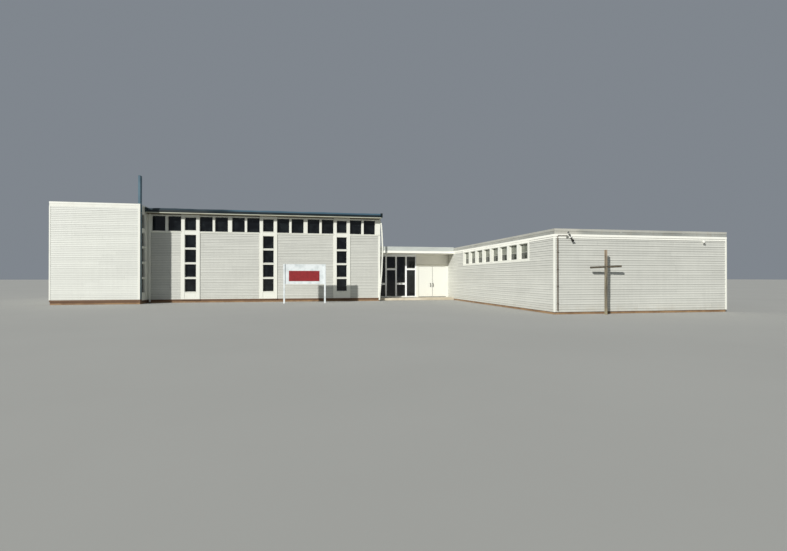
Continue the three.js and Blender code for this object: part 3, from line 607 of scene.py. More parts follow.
# Hall back and right walls
# Grey lap siding like the front: the back repeats the high windows with flat white boards between them, and
# the right wall is plain, with the entrance roof flashed into it.
dress(LINING, "back_wall", "hall_right_wall_upper", "hall_right_wall_front", "hall_right_wall_back")
entry_low, entry_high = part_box("entrance_roof")
doors_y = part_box("entrance_frame")[0].y
lobby_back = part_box("lobby_back_wall")[1].y
flash, canopy_y, lobby_y = entry_high.z + 0.09, entry_low.y - 0.001, lobby_back + PROUD
lap_siding("hall_back_siding", GREY_SIDING, GREY_LIPS, [
    ("+y", back_y, seam_high, hall_right - BOARD, HALL_FOOT, sill_z)])
lap_siding("hall_right_siding", GREY_SIDING, GREY_LIPS, [
    ("+x", hall_right, hall_front + BOARD, canopy_y, HALL_FOOT, head_z),
    ("+x", hall_right, canopy_y, doors_y, foot, entry_low.z),
    ("+x", hall_right, canopy_y, lobby_y, flash, head_z),
    ("+x", hall_right, lobby_y, back_y - BOARD, HALL_FOOT, head_z),
])
boards("hall_side_base_course", upright(
    BASE_FOOT, BASE_TOP,
    (side_high.x + 0.001, hall_right, back_y, back_y + BASE_OUT),
    (hall_right, hall_right + BASE_OUT, hall_front, canopy_y),
    (hall_right, hall_right + BASE_OUT, lobby_y, back_y)), CONCRETE, chamfer=BASE_CHAMFER)
head_spans = [(centre - POST_IN, centre + POST_IN) for centre in strips]
head_low, head_high = HEAD_PANE
whole_back = [(seam_high, hall_right)]
back_face = ("+y", back_y)
nailed("back_window_boards", back_face,
       along(piers(seam_high, hall_right, sorted(windows + head_spans)), 0.0, 0.018, HIGH_BOTTOM, HIGH_TOP)
       + along(head_spans, 0.0, 0.018, HIGH_BOTTOM, head_low)
       + along(head_spans, 0.0, 0.018, head_high, HIGH_TOP)
       + along(whole_back, 0.0, 0.020, sill_z, NOSE_FOOT)
       + along(whole_back, 0.0, 0.048, NOSE_FOOT, NOSE_TOP)
       + along(whole_back, 0.0, 0.022, HIGH_TOP, head_z), TRIM, 0.004)
pane_fittings("back_window", back_face, high_panes + along(head_spans, head_low, head_high),
              back_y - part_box("back_glass")[1].y)


# Hall roof
# A flat roof on a cream eave board: dark green-black gutters hang along front and back, a folded metal edge
# closes the right side, and a grey membrane falls gently to the gutters.
CREAM = Finish("cream_eave_board", (176, 178, 162), 0.55)
wear = CREAM.noise(0.4, (3.0, 3.0, 1.0))
CREAM.use(CREAM.toned(wear, 0.4, 0.75, (156, 152, 132)), height=wear, depth=0.0006)
# The soffit boards are painted a dark olive brown that stands in for the shade under the eave.
SOFFIT_PAINTED_SHADE = Finish("soffit_painted_shade", (116, 106, 82), 0.7, "cream_board").mottled(0.5, 0.86, 1.08, (3.0, 1.0, 1.0))
dress(CREAM, "hall_eave_board")
eave_low, eave_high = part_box("hall_eave_board")
boards("hall_soffit_boards", [
    (eave_low.x + 0.01, eave_high.x - 0.01, a, b, eave_low.z - 0.008, eave_low.z)
    for start, end in ((eave_low.y + 0.02, frame_y - 0.03), (back_y + 0.03, eave_high.y - 0.02))
    for a, b in parted(start, end, 4, 0.008)], SOFFIT_PAINTED_SHADE)

roof_low, roof_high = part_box("hall_roof")
DARK = Finish("dark_roof_metal", (13, 26, 28), 0.35, "dark_roof_edge", Metallic=0.1)
wear = DARK.noise(0.35, (4.0, 4.0, 1.0))
DARK.use(DARK.toned(wear, 0.4, 0.75, (28, 50, 54)), DARK.spread(wear, 0.25, 0.5), wear, 0.001)
GUTTER = Finish("gutter_metal", (14, 30, 36), 0.35, "dark_roof_edge", Metallic=0.1)
# The upper face of the gutters is painted with a blue sky reflection, which fades to a fifth of it towards
# the left end as painted shade.
SHADED_TO, LIT_FROM = -7.2, -6.0
painted_sky_reflection = GUTTER.product(GUTTER.ramp(GUTTER.axis("Z"), roof_low.z + 0.125, roof_low.z + 0.160),
                         GUTTER.ramp(GUTTER.axis("X"), SHADED_TO, LIT_FROM, 0.2, 1.0))
GUTTER.use(GUTTER.mixed(painted_sky_reflection, GUTTER.color, Finish.paint(66, 94, 110)),
           GUTTER.spread(GUTTER.noise(0.35, (4.0, 4.0, 1.0)), 0.3, 0.5))
gutter_profile = np.array([
    (-0.118, 0.225), (-0.118, 0.004), (-0.012, 0.004), (-0.002, 0.012), (-0.002, 0.122), (-0.014, 0.134),
    (-0.050, 0.220), (-0.052, 0.230), (-0.060, 0.230), (-0.060, 0.220), (-0.024, 0.132), (-0.012, 0.120),
    (-0.012, 0.014), (-0.111, 0.014), (-0.111, 0.225),
]) + np.array([0.0, roof_low.z])


def sagging(stations, seed):
    """A small drop between hangers, as a sum of two sines along the gutter."""
    return -0.006 * (1 + np.sin(2.1 * stations + seed)) - 0.004 * (1 + np.sin(7.3 * stations + seed)) + 0.018


LEFT_END, RIGHT_END, DEEP = 0.10, 0.14, 0.14
gutter_ends = (roof_low.x + LEFT_END, roof_high.x - RIGHT_END)
gutters = []
for y, ends, seed in ((roof_low.y, gutter_ends, 0.4), (roof_high.y, gutter_ends[::-1], 2.0)):
    line = stepped([(x, y) for x in ends], 0.3)
    gutters.append(carried(gutter_profile, line, lift=sagging(line[:, 0], seed)))
shell("hall_gutters", gathered(*gutters), GUTTER, "hall_roof")
roof_foot, roof_crown = roof_low.z + 0.002, roof_high.z
shell("hall_roof_edge", carried([
    (-RIGHT_END, roof_foot), (-0.002, roof_foot), (0.0, roof_foot + 0.008), (-0.002, roof_crown - 0.036),
    (-0.002, roof_crown - 0.006), (-0.02, roof_crown), (-0.06, roof_crown - 0.010),
    (-RIGHT_END, roof_crown - 0.010),
], [(roof_high.x, roof_low.y + DEEP), (roof_high.x, roof_high.y - DEEP)]), DARK, "hall_roof")
boards("gutter_end_caps", upright(roof_foot, roof_crown, *[
    (x0, x1, y0, y1) for x0, x1 in ((roof_low.x, gutter_ends[0]), (gutter_ends[1], roof_high.x))
    for y0, y1 in ((roof_low.y, roof_low.y + DEEP), (roof_high.y - DEEP, roof_high.y))]),
       DARK, "hall_roof", chamfer=0.012)
boards("gutter_hangers", upright(roof_crown - 0.046, roof_crown - 0.040, *[
    (x - 0.012, x + 0.012, y0, y1) for x in np.arange(roof_low.x + 0.4, roof_high.x - 0.3, 0.6)
    for y0, y1 in ((roof_low.y + 0.055, roof_low.y + 0.125), (roof_high.y - 0.125, roof_high.y - 0.055))]),
       DARK, chamfer=0.001)
half, ridge_y = (roof_high.y - roof_low.y) / 2, (roof_low.y + roof_high.y) / 2
eave_edge = [(half - 0.119, roof_low.z), (half - 0.119, roof_crown - 0.052),
             (half - 0.095, roof_crown - 0.048), (half - 0.095, roof_crown - 0.043)]
deck_profile = [*eave_edge, (0.0, roof_crown + 0.02), *[(-out, up) for out, up in eave_edge[::-1]]]
deck_line = [(x, ridge_y) for x in np.linspace(roof_low.x, gutter_ends[1], 9)]
shell("hall_roof_membrane", carried(deck_profile, deck_line), MEMBRANE, "hall_roof")


# Wing walls
# The same grey lap siding on all four sides between slim white corner boards, a white frieze board under the
# roof edge, and on each long side a band of eight small windows high in the wall.
dress(LINING, "wing_front_wall", "wing_back_wall", "wing_left_wall", "wing_right_wall", "lobby_back_wall")
wing_low, wing_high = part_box("wing_front_wall")
wing_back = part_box("wing_back_wall")[1].y
band_low, band_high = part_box("window_band_frame")
west, east, south, lobby_x = wing_low.x, wing_high.x, wing_low.y, hall_right + 0.02
FRIEZE, SLIM, NARROW = 3.13, 0.065, 0.05
band_start, band_end, band_foot = band_low.y - 0.002, band_high.y + 0.002, band_low.z - 0.002
lap_siding("wing_siding", GREY_SIDING, GREY_LIPS, [
    ("-y", south, west + NARROW, east - SLIM, SIDING_FOOT, FRIEZE),
    ("-x", west, south + SLIM, band_start, SIDING_FOOT, FRIEZE),
    ("-x", west, band_start, band_end, SIDING_FOOT, band_foot),
    ("-x", west, band_end, entry_low.y - 0.002, SIDING_FOOT, FRIEZE),
    ("-x", west, entry_low.y - 0.002, doors_y, foot, FRIEZE),
    ("+x", east, south + SLIM, band_start, SIDING_FOOT, FRIEZE),
    ("+x", east, band_start, band_end, SIDING_FOOT, band_foot),
    ("+x", east, band_end, wing_back - SLIM, SIDING_FOOT, FRIEZE),
    ("+y", wing_back, lobby_x, east - SLIM, SIDING_FOOT, FRIEZE),
])
boards("wing_corner_boards", upright(
    SIDING_FOOT, FRIEZE,
    (west - PROUD, west + NARROW, south - PROUD, south),
    (west - PROUD, west, south, south + SLIM),
    (east - SLIM, east + PROUD, south - PROUD, south),
    (east, east + PROUD, south, south + SLIM),
    (east, east + PROUD, wing_back - SLIM, wing_back),
    (east - SLIM, east + PROUD, wing_back, wing_back + PROUD)), TRIM)
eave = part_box("wing_roof")[0].z
entry_front = entry_low.y - 0.02
FRESH = Finish("fresh_white_paint", (243, 243, 233), 0.45, "white_trim")
FRESH.mottled(0.5, 0.95, 1.0, (2.0, 2.0, 0.5))
shell("wing_frieze", carried([
    (0.0, FRIEZE - 0.010), (0.010, FRIEZE - 0.010), (0.012, FRIEZE - 0.006), (0.012, FRIEZE + 0.050),
    (0.004, FRIEZE + 0.052), (0.004, FRIEZE + 0.066), (0.019, FRIEZE + 0.070), (0.019, eave - 0.001),
    (0.0, eave - 0.001),
], [(west, entry_front), (west, south), (east, south), (east, wing_back), (lobby_x, wing_back)]), FRESH)
# Grey strips tucked under the frieze and into the groove between its two steps are painted shade lines. The
# same grey is the conduit fitting's own colour further on.
GREY_AND_SHADE_LINES = Finish("frieze_grey_and_shade", (124, 125, 118), 0.5, "white_trim").mottled(0.2, 0.9, 1.05)
shade_line_spans = [("-y", south, west + NARROW, east - SLIM), ("-x", west, south + SLIM, band_start),
            ("-x", west, band_end, entry_front), ("+x", east, south + SLIM, band_start),
            ("+x", east, band_end, wing_back - SLIM), ("+y", wing_back, lobby_x, east - SLIM)]
boards("frieze_painted_shade_lines", [box for facing, plane, *span in shade_line_spans for box in faced(facing, plane, [
    (*span, 0.0, 0.0185, FRIEZE - 0.023, FRIEZE - 0.0105),
    (*span, 0.003, 0.0065, FRIEZE + 0.0522, FRIEZE + 0.0672)])], GREY_AND_SHADE_LINES, chamfer=0.001)


# Wing window bands
# White boards frame eight deep-set windows in each long side. Each has a thin sash with a rail across its
# middle, and the glass shows pale blinds above the rail and a dim room below.
BAND_GLASS = Finish("band_glass", (96, 104, 92), 0.08, "dark_glass", IOR=1.5)
blind_edge = BAND_GLASS.math("ADD", BAND_GLASS.axis("Z"), BAND_GLASS.product(BAND_GLASS.noise(0.9), 0.25))
pane_color = BAND_GLASS.toned(blind_edge, 2.76, 2.86, (110, 114, 102), color=Finish.paint(58, 62, 56))
BAND_GLASS.use(BAND_GLASS.shaded(pane_color, BAND_GLASS.spread(BAND_GLASS.noise(0.12), 0.8, 1.15)),
               BAND_GLASS.ramp(BAND_GLASS.noise(0.3), 0.3, 0.8, 0.04, 0.14),
               BAND_GLASS.noise(0.9, detail=1.0), 0.001)
SASH_RAIL = Finish("sash_rail", (166, 168, 158), 0.5, "mast_paint").mottled(0.05, 0.9, 1.06)
dress(BAND_GLASS, "window_band_glass", "wing_right_glass")
dress(TRIM, "window_band_frame")
BAND_WIDTH, BAND_PITCH, BAND_BOTTOM, BAND_TOP = 0.90, 1.103, 2.38, 3.09
SASH, RAIL_HALF, BAND_SILL = 0.012, 0.012, BAND_BOTTOM - 0.028
middle = BAND_BOTTOM + 0.45 * (BAND_TOP - BAND_BOTTOM)
band_glass_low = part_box("window_band_glass")[0]
openings = [(start, start + BAND_WIDTH) for start in band_glass_low.y + 0.03 + BAND_PITCH * np.arange(8)]
whole_band = [(band_low.y, band_high.y)]
for side, wall, depth, thick in (
        ("left", ("-x", band_low.x), band_glass_low.x - band_low.x, 0.004),
        ("right", ("+x", east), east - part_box("wing_right_glass")[1].x, 0.016)):
    back = 0.001 - depth
    nailed(f"{side}_band_boards", wall,
           along(piers(band_low.y, band_high.y, openings), 0.0, thick, BAND_BOTTOM, BAND_TOP)
           + along(whole_band, 0.0, thick, band_low.z, BAND_SILL)
           + along(whole_band, 0.0, thick, BAND_TOP, FRIEZE - 0.011)
           + along(whole_band, 0.0, thick + 0.003, BAND_SILL, BAND_BOTTOM), TRIM, 0.002)
    nailed(f"{side}_band_sashes", wall, [strip for opening in openings for strip in ringed(
        *opening, BAND_BOTTOM, BAND_TOP, SASH, back, back + 0.029)], TRIM)
    nailed(f"{side}_band_rails", wall, along([(a0 + SASH, a1 - SASH) for a0, a1 in openings],
           back, back + 0.017, middle - RAIL_HALF, middle + RAIL_HALF), SASH_RAIL)


# Wing and entrance roofs
# Flat membrane roofs at one level, edged with weathered grey sheet metal in ten foot lengths: a tall face,
# a drip at its foot, a raised stop at its top, and a cover strip over each joint.
roof_low, roof_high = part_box("wing_roof")
top = roof_high.z
METAL = Finish("grey_sheet_metal", (170, 172, 165), 0.5, "grey_fascia", Metallic=0.1)
cloud = METAL.noise(0.9, (2.0, 2.0, 0.5))
metal_color = METAL.toned(cloud, 0.35, 0.7, (136, 139, 134))
metal_color = METAL.toned(METAL.noise(0.08, (1.0, 1.0, 9.0)), 0.5, 0.75, (148, 137, 120), 0.4, metal_color)
stop_light = METAL.ramp(METAL.axis("Z"), top - 0.106, top - 0.098, 0.0, 0.35)
near_corner = METAL.product(METAL.ramp(METAL.axis("X"), roof_low.x + 0.9, roof_low.x + 1.5, 0.7, 0.0),
                            METAL.ramp(METAL.axis("X"), roof_low.x, roof_low.x + 0.03))
pale = METAL.math("MAXIMUM", stop_light, near_corner)
metal_color = METAL.mixed(pale, metal_color, Finish.paint(204, 202, 190))
METAL.use(metal_color, METAL.spread(cloud, 0.42, 0.62), cloud, 0.004)
corners = [(roof_low.x, roof_low.y), (roof_high.x, roof_low.y),
           (roof_high.x, roof_high.y), (roof_low.x, roof_high.y)]
shell("wing_fascia", carried([
    (-0.14, eave), (-0.016, eave), (-0.004, eave - 0.006), (0.0, eave + 0.004), (-0.008, eave + 0.020),
    (-0.008, top - 0.116), (-0.018, top - 0.114), (-0.018, top - 0.104), (-0.001, top - 0.100),
    (-0.001, top - 0.004), (-0.010, top), (-0.05, top), (-0.06, top - 0.03), (-0.14, top - 0.03),
], stepped(corners, 0.76, closed=True), closed=True), METAL, "wing_roof")
INNER = 0.139
boards("wing_roof_membrane", upright(eave, top - 0.028, (
    roof_low.x + INNER, roof_high.x - INNER, roof_low.y + INNER, roof_high.y - INNER)),
       MEMBRANE, "wing_roof", chamfer=0.004)
COVER_PITCH, COVER_HALF = 3.05, 0.05
covers = []
for facing, plane, start, end in (
        ("-y", roof_low.y, west, east - 0.5), ("+y", roof_high.y, west, east - 0.5),
        ("+x", roof_high.x, south, wing_back - 0.5), ("-x", roof_low.x, south, entry_low.y - 0.3)):
    covers += faced(facing, plane, [
        (at - COVER_HALF, at + COVER_HALF, -0.012, -0.0005, eave + 0.003, top - 0.001)
        for at in np.arange(start + COVER_PITCH, end, COVER_PITCH)])
boards("fascia_cover_strips", covers, METAL, chamfer=0.002)

dress(MEMBRANE, "entrance_roof")
CANOPY = Finish("canopy_paint", (188, 193, 188), 0.5, "grey_fascia").mottled(0.6, 0.9, 1.03, (2.0, 2.0, 0.5))
canopy_profile = [(0.0, eave - 0.006), (0.012, eave - 0.006), (0.014, eave + 0.004), (0.006, eave + 0.020),
                  (0.006, top - 0.030), (0.011, top - 0.024), (0.011, top + 0.046), (0.0, top + 0.050),
                  (-0.06, top + 0.050), (-0.06, top), (0.0, top)]
canopy_left, canopy_right = entry_low.x, roof_low.x - 0.0005
shell("canopy_fascia", carried(canopy_profile, stepped(
    [(canopy_left, entry_low.y), (canopy_right, entry_low.y)], 0.8)), CANOPY)
boards("canopy_frieze", [
    (canopy_left, west - 0.0005, entry_low.y - 0.018, entry_low.y, FRIEZE + 0.012, eave - 0.007)], FRESH)
shell("lobby_back_fascia", carried(canopy_profile, [
    (canopy_right, entry_high.y), (canopy_left, entry_high.y)]), CANOPY)
boards("roof_flashing", [
    (canopy_left, canopy_left + 0.022, entry_low.y, entry_high.y, top, flash),
    (canopy_left, canopy_left + 0.10, entry_low.y + 0.06, entry_high.y - 0.06, top, top + 0.006),
], METAL, chamfer=0.002)


# Entrance ceiling
# Narrow beige boards with grooves between them close the underside of the canopy out to its front.
# They are nailed up across the entrance, edge to edge.
BEIGE = Finish("beige_boards", (240, 238, 228), 0.55, "cream_board")
grain = BEIGE.noise(0.01, (20.0, 1.0, 1.0))
BEIGE.use(BEIGE.shaded(BEIGE.color, BEIGE.spread(grain, 0.95, 1.03)), height=grain, depth=0.0005)
boards("canopy_ceiling", [
    (entry_low.x + 0.02, west - 0.02, a, b, FRIEZE - 0.012, FRIEZE)
    for a, b in parted(entry_low.y + 0.02, doors_y - 0.002, 9, 0.005)], BEIGE, chamfer=0.004)


# Entrance glazing
# A white frame with four columns of glass: the rails sit low and high by turns, each pane is held by beads,
# and a deeper sill runs along the foot.
# The entrance frame is painted a brighter, bluer white than the other trim: painted fill light in the
# canopy's shade.
ENTRANCE_WHITE_AND_FILL_LIGHT = Finish("entrance_white_paint", (243, 245, 247), 0.45, "white_trim")
ENTRANCE_WHITE_AND_FILL_LIGHT.mottled(0.4, 0.96, 1.0, (1.0, 1.0, 2.5))
dress(ENTRANCE_WHITE_AND_FILL_LIGHT, "entrance_frame")
entrance_low, entrance_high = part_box("entrance_frame")
COLUMN, FIRST_MULLION, MULLION = 0.706, entrance_low.x - 0.0253, 0.095
GLAZING_FOOT, GLAZING_HEAD = 0.23, 2.97
RAILS = ((1.03, 1.15), (2.04, 2.16))
glazed = ("-y", entrance_low.y)
ceiling, sill_top = FRIEZE - 0.014, foot + 0.04
panes, mullions, crossings = [], [], []
for n in range(4):
    a0 = FIRST_MULLION + n * COLUMN + MULLION / 2
    a1 = a0 + COLUMN - MULLION
    rail_low, rail_high = RAILS[n % 2]
    panes += [(a0, a1, GLAZING_FOOT, rail_low), (a0, a1, rail_high, GLAZING_HEAD)]
    crossings.append((a0, a1, 0.0, 0.006, rail_low, rail_high))
    mullions.append((a1, min(a1 + MULLION, entrance_high.x)))
mullions.append((entrance_low.x, FIRST_MULLION + MULLION / 2))
whole_glazing = [(entrance_low.x, entrance_high.x)]
nailed("glazing_mullions", glazed, along(mullions, 0.0, 0.012, sill_top, ceiling), ENTRANCE_WHITE_AND_FILL_LIGHT)
nailed("glazing_rails", glazed, crossings, ENTRANCE_WHITE_AND_FILL_LIGHT)
nailed("glazing_sill", glazed, along(whole_glazing, 0.0, 0.035, foot + 0.010, sill_top)
       + along(whole_glazing, 0.0, 0.016, GLAZING_HEAD, ceiling), ENTRANCE_WHITE_AND_FILL_LIGHT, 0.004)
# A dark strip along the glazing foot, under the sill, is partly a seal and partly painted shadow in the gap
# above the slab.
nailed("glazing_foot_seal_and_shadow", glazed, along(whole_glazing, 0.0, 0.028, foot + 0.0003, foot + 0.009), GASKET, 0.001)
pane_fittings("glazing", glazed, panes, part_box("entrance_glass")[0].y - entrance_low.y)


# Doorway
# Flat white jambs, a beige board panel with upright grooves over the doors, a drip cap between them, and a
# low aluminium threshold on the slab.
dress(TRIM, "door_jamb_left", "door_jamb_right", "over_door_panel")
jamb_left, jamb_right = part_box("door_jamb_left"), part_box("door_jamb_right")
leaves = {side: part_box(f"{side}_door") for side in ("left", "right")}
over_low, over_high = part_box("over_door_panel")
over_doors, whole_width = ("-y", over_low.y), [(over_low.x + 0.002, over_high.x - 0.002)]
opening_left, opening_right = leaves["left"][0].x, leaves["right"][1].x
nailed("over_door_boards", over_doors, along(parted(over_low.x + 0.02, over_high.x, 17, 0.002),
       0.0, 0.012, over_low.z + 0.16, ceiling), BEIGE, 0.005)
nailed("door_casing", ("-y", jamb_left[0].y), [
    *along(whole_width, 0.0, 0.026, over_low.z + 0.004, over_low.z + 0.030),
    (jamb_left[0].x + 0.002, opening_left - 0.012, 0.0, 0.012, foot, over_low.z),
    (opening_right + 0.012, jamb_right[1].x - 0.002, 0.0, 0.012, foot, over_low.z),
], TRIM, 0.004)
HEADER = Finish("door_header_paint", (224, 221, 206), 0.5, "white_trim").mottled(0.3, 0.93, 1.04)
nailed("door_header", over_doors,
       along(whole_width, 0.0, 0.010, over_low.z + 0.034, over_low.z + 0.156), HEADER)
ALUMINIUM = Finish("aluminium", (168, 170, 170), 0.35, "pull_metal", Metallic=0.9)
ALUMINIUM.use(roughness=ALUMINIUM.spread(ALUMINIUM.noise(0.01, (30.0, 1.0, 1.0)), 0.28, 0.48))
boards("door_threshold", upright(foot - 0.001, foot + 0.0045, (
    opening_left - 0.005, opening_right + 0.005, jamb_left[0].y + 0.002, jamb_left[1].y)),
       ALUMINIUM, chamfer=0.002)


# Door leaves
# Two flush steel leaves painted white, faced with upright boards, each hung on three knuckle hinges and
# opened by a dark square pull on two feet.
DOOR = Finish("door_paint", (225, 226, 217), 0.35, "door_paint")
dirt = DOOR.noise(0.35, (1.0, 1.0, 2.0))
DOOR.use(DOOR.toned(dirt, 0.5, 0.85, (212, 211, 199), 0.3), DOOR.spread(dirt, 0.3, 0.45),
         DOOR.noise(0.25, detail=1.0), 0.001)
PULL = Finish("pull_metal", (40, 40, 42), 0.3, "pull_metal", Metallic=0.7)
PULL.use(roughness=PULL.spread(PULL.noise(0.02), 0.24, 0.42))
RUBBER = Finish("door_rubber", (84, 82, 76), 0.7, "pull_metal").mottled(0.05, 0.85, 1.1)
dress(DOOR, "left_door", "right_door")
dress(PULL, "left_door_pull", "right_door_pull")
KICK_FOOT, KICK_HEAD, GROOVE, PULL_FEET = 0.036, 0.12, 0.0016, (0.90, 1.10)
leaf_face = ("-y", jamb_left[0].y + 0.020)
for side, (low, high) in leaves.items():
    hinge, meeting, inwards = (low.x, high.x, 1.0) if side == "left" else (high.x, low.x, -1.0)
    start, end = sorted((hinge + inwards * 0.036, meeting - inwards * 0.008))
    skins = along(parted(start + GROOVE / 2, end + GROOVE / 2, 4, GROOVE),
                  0.0, 0.004, low.z + KICK_HEAD, high.z)
    skins.append((start, end, 0.0, 0.003, low.z + KICK_FOOT, low.z + KICK_HEAD - 0.002))
    rubber = [(*sorted((meeting - inwards * 0.006, meeting)), 0.0, 0.003, low.z + KICK_FOOT, high.z),
              (low.x + 0.002, high.x - 0.002, 0.0, 0.004, low.z, low.z + 0.035)]
    pull_low, pull_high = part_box(f"{side}_door_pull")
    feet = [(pull_low.x - 0.008, pull_high.x + 0.008, 0.004, 0.009, z - 0.024, z + 0.024)
            for z in PULL_FEET]
    for name, pieces, finish, chamfer in (
            ("door_skin", skins, DOOR, 0.0025), ("door_rubber", rubber, RUBBER, 0.001),
            ("pull_plates", feet, PULL, 0.002)):
        nailed(f"{side}_{name}", leaf_face, pieces, finish, chamfer, body=f"{side}_leaf")


# Rainwater pipes
# Ribbed rectangular sheet-metal pipes hung from the eaves: a straight one in the inner corner, held by flat
# straps, and one at the right end that has bowed away from the wall.
def ribbed(width, depth, ribs):
    """The outline of a ribbed pipe: a rectangle with shallow ribs on its broad sides, counterclockwise."""
    across = np.linspace(-width / 2, width / 2, 4 * ribs + 1)
    groove = np.where(np.arange(4 * ribs + 1) % 4 >= 2, 0.004, 0.0)
    groove[[0, -1]] = 0.0
    front = np.stack([across, -depth / 2 + groove], 1)
    return np.concatenate([front, -front])


def hanging(section, x, y, z):
    """A section carried down a line of points (x, y, z), kept level at each point."""
    line = np.stack(np.broadcast_arrays(x, y, z), 1)
    return tubed(line[:, None] + np.pad(section, ((0, 0), (0, 1))))


def rounded(points, number):
    """A smooth line through the points: between two of them each coordinate is a cubic whose slope at a
    point is half the step from the point before it to the point after it."""
    padded = np.concatenate([2 * points[:1] - points[1:2], points, 2 * points[-1:] - points[-2:-1]])
    share = np.linspace(0, 1, number, endpoint=False)[:, None]
    parts = []
    for a, b, c, d in zip(padded[:-3], padded[1:-2], padded[2:-1], padded[3:]):
        parts.append(0.5 * (2 * b + (c - a) * share + (2 * a - 5 * b + 4 * c - d) * share ** 2
                            + (3 * b - a - 3 * c + d) * share ** 3))
    return np.concatenate(parts + [points[-1:]])


pipe_low, pipe_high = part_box("downspout_left")
pipe_x, pipe_y = (pipe_low.x + pipe_high.x) / 2, (pipe_low.y + pipe_high.y) / 2
outline = ribbed(pipe_high.x - pipe_low.x, pipe_high.y - pipe_low.y, 4)
shell("left_rainwater_pipe", hanging(outline, pipe_x, pipe_y, np.linspace(pipe_high.z, pipe_low.z, 40)),
      TRIM, "downspout_left")
bow = rounded(np.array([
    (-0.045, 5.3197), (-0.020, 5.230), (0.045, 5.060), (0.075, 4.880), (0.115, 4.300), (0.150, 3.400),
    (0.118, 2.400), (0.080, 1.680), (-0.007, 0.700), (-0.055, 0.060)]), 6)
shell("right_rainwater_pipe", hanging(outline, hall_right + bow[:, 0], pipe_y, bow[:, 1]),
      TRIM, "downspout_right")
STRAP_LEVELS = (0.6, 2.4, 4.1)
boards("pipe_straps", [
    (pipe_low.x - 0.012, pipe_high.x + 0.012, pipe_low.y - 0.003, pipe_high.y + 0.025, z - 0.015, z + 0.015)
    for z in STRAP_LEVELS], TRIM, chamfer=0.002)


# Floodlights and conduit
# On the wing's front two lamps in dark holders stand on one white box, fed by a brown conduit that climbs
# beside the corner board and turns along the frieze to a small fitting. Further along hangs a white lamp.
def turned(profile, centre, axis, sides=20):
    """A profile of (along, radius) points turned about an axis through a centre."""
    axis = axis / np.linalg.norm(axis)
    first = np.cross(axis, (1.0, 0.0, 0.0))
    first /= np.linalg.norm(first)
    second = np.cross(axis, first)
    angle = np.linspace(0, 2 * math.pi, sides, endpoint=False)[:, None]
    circle = np.cos(angle) * first + np.sin(angle) * second
    profile = np.array(profile)
    return tubed(centre + profile[:, :1, None] * axis + profile[:, 1:, None] * circle, clockwise=True)


def lamp(start, middle, size, towards, neck):
    """A flared lamp turned about the direction it looks in, as three shapes: a round neck from the start to
    the middle of the housing, the housing, and the lens in its mouth."""
    start, middle, towards = np.array([start, middle, towards])
    reach = middle - start
    length = np.linalg.norm(reach)
    arm = turned([(0.0, neck), (length * 0.3, neck * 0.8), (length * 0.55, neck), (length, neck * 0.8)],
                 start, reach, sides=12)
    housing = size * np.array([(-0.62, 0.16), (-0.56, 0.27), (-0.10, 0.31), (0.30, 0.43), (0.62, 0.48),
                               (0.62, 0.45), (0.50, 0.44)])
    lens = size * np.array([(0.46, 0.42), (0.52, 0.435), (0.57, 0.30), (0.59, 0.06)])
    return arm, turned(housing, middle, towards), turned(lens, middle, towards)


LAMP = Finish("lamp_housing", (232, 232, 224), 0.35, "lamp_metal").mottled(0.03, 0.85, 1.03)
LENS = Finish("lamp_lens", (18, 20, 22), 0.2, "dark_glass", IOR=1.4)
LENS.use(roughness=LENS.spread(LENS.noise(0.02), 0.15, 0.3))
HOLDER = Finish("lamp_holder", (36, 34, 31), 0.5, "pull_metal").mottled(0.03, 0.75, 1.25)
wall_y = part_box("floodlight_left")[1].y
TWIN_AT, TWIN_LEVEL, SMALL_AT = 5.84, 3.175, 12.2
box_x, box_z, small_x = hall_right + TWIN_AT, TWIN_LEVEL, hall_right + SMALL_AT
upper = lamp((box_x - 0.02, wall_y - 0.045, box_z + 0.02), (box_x - 0.155, wall_y - 0.146, box_z + 0.150),
             0.095, (-0.65, -0.45, 0.61), 0.026)
lower = lamp((box_x + 0.015, wall_y - 0.045, box_z - 0.03), (box_x + 0.010, wall_y - 0.125, box_z - 0.115),
             0.120, (0.10, -0.68, -0.72), 0.032)
small = lamp((small_x, wall_y - 0.015, 3.075), (small_x, wall_y - 0.095, 3.055),
             0.11, (-0.2, -0.6, -0.75), 0.014)
back_box = chamfered([
    (box_x - 0.055, box_x + 0.055, wall_y - 0.062, wall_y, box_z - 0.045, box_z + 0.045)], 0.008)
base = chamfered([(small_x - 0.03, small_x + 0.03, wall_y - 0.03, wall_y, 3.045, 3.105)], 0.006)
# The upper lamp's housing is white as a painted highlight of its sunlit bulb; the lower lamp's housing is
# dark like the holders as painted shade.
shell("twin_lamp_box_and_sunlit_head", gathered(back_box, upper[1]), LAMP, "floodlight_left")
shell("twin_lamp_holders_and_shaded_head", gathered(upper[0], *lower[:2]), HOLDER, "floodlight_left")
shell("twin_lamp_lenses", gathered(upper[2], lower[2]), LENS, "floodlight_left")
shell("small_lamp", gathered(base, *small[:2]), LAMP, "floodlight_right")
shell("small_lamp_lens", small[2], LENS, "floodlight_right")


def swept(radius, path, sides=12):
    """A round pipe along a path in an upright plane facing the front: a circle across the path at each
    point, of a radius for each point."""
    slope = np.gradient(path, axis=0)
    slope /= np.linalg.norm(slope, axis=1)[:, None]
    side = np.stack([slope[:, 2], 0 * slope[:, 0], -slope[:, 0]], 1)[:, None]
    angle = np.linspace(0, 2 * math.pi, sides, endpoint=False)[:, None]
    circle = np.cos(angle) * side + np.sin(angle) * np.array([0.0, 1.0, 0.0])
    return tubed(path[:, None] + radius[:, None, None] * circle, clockwise=True)


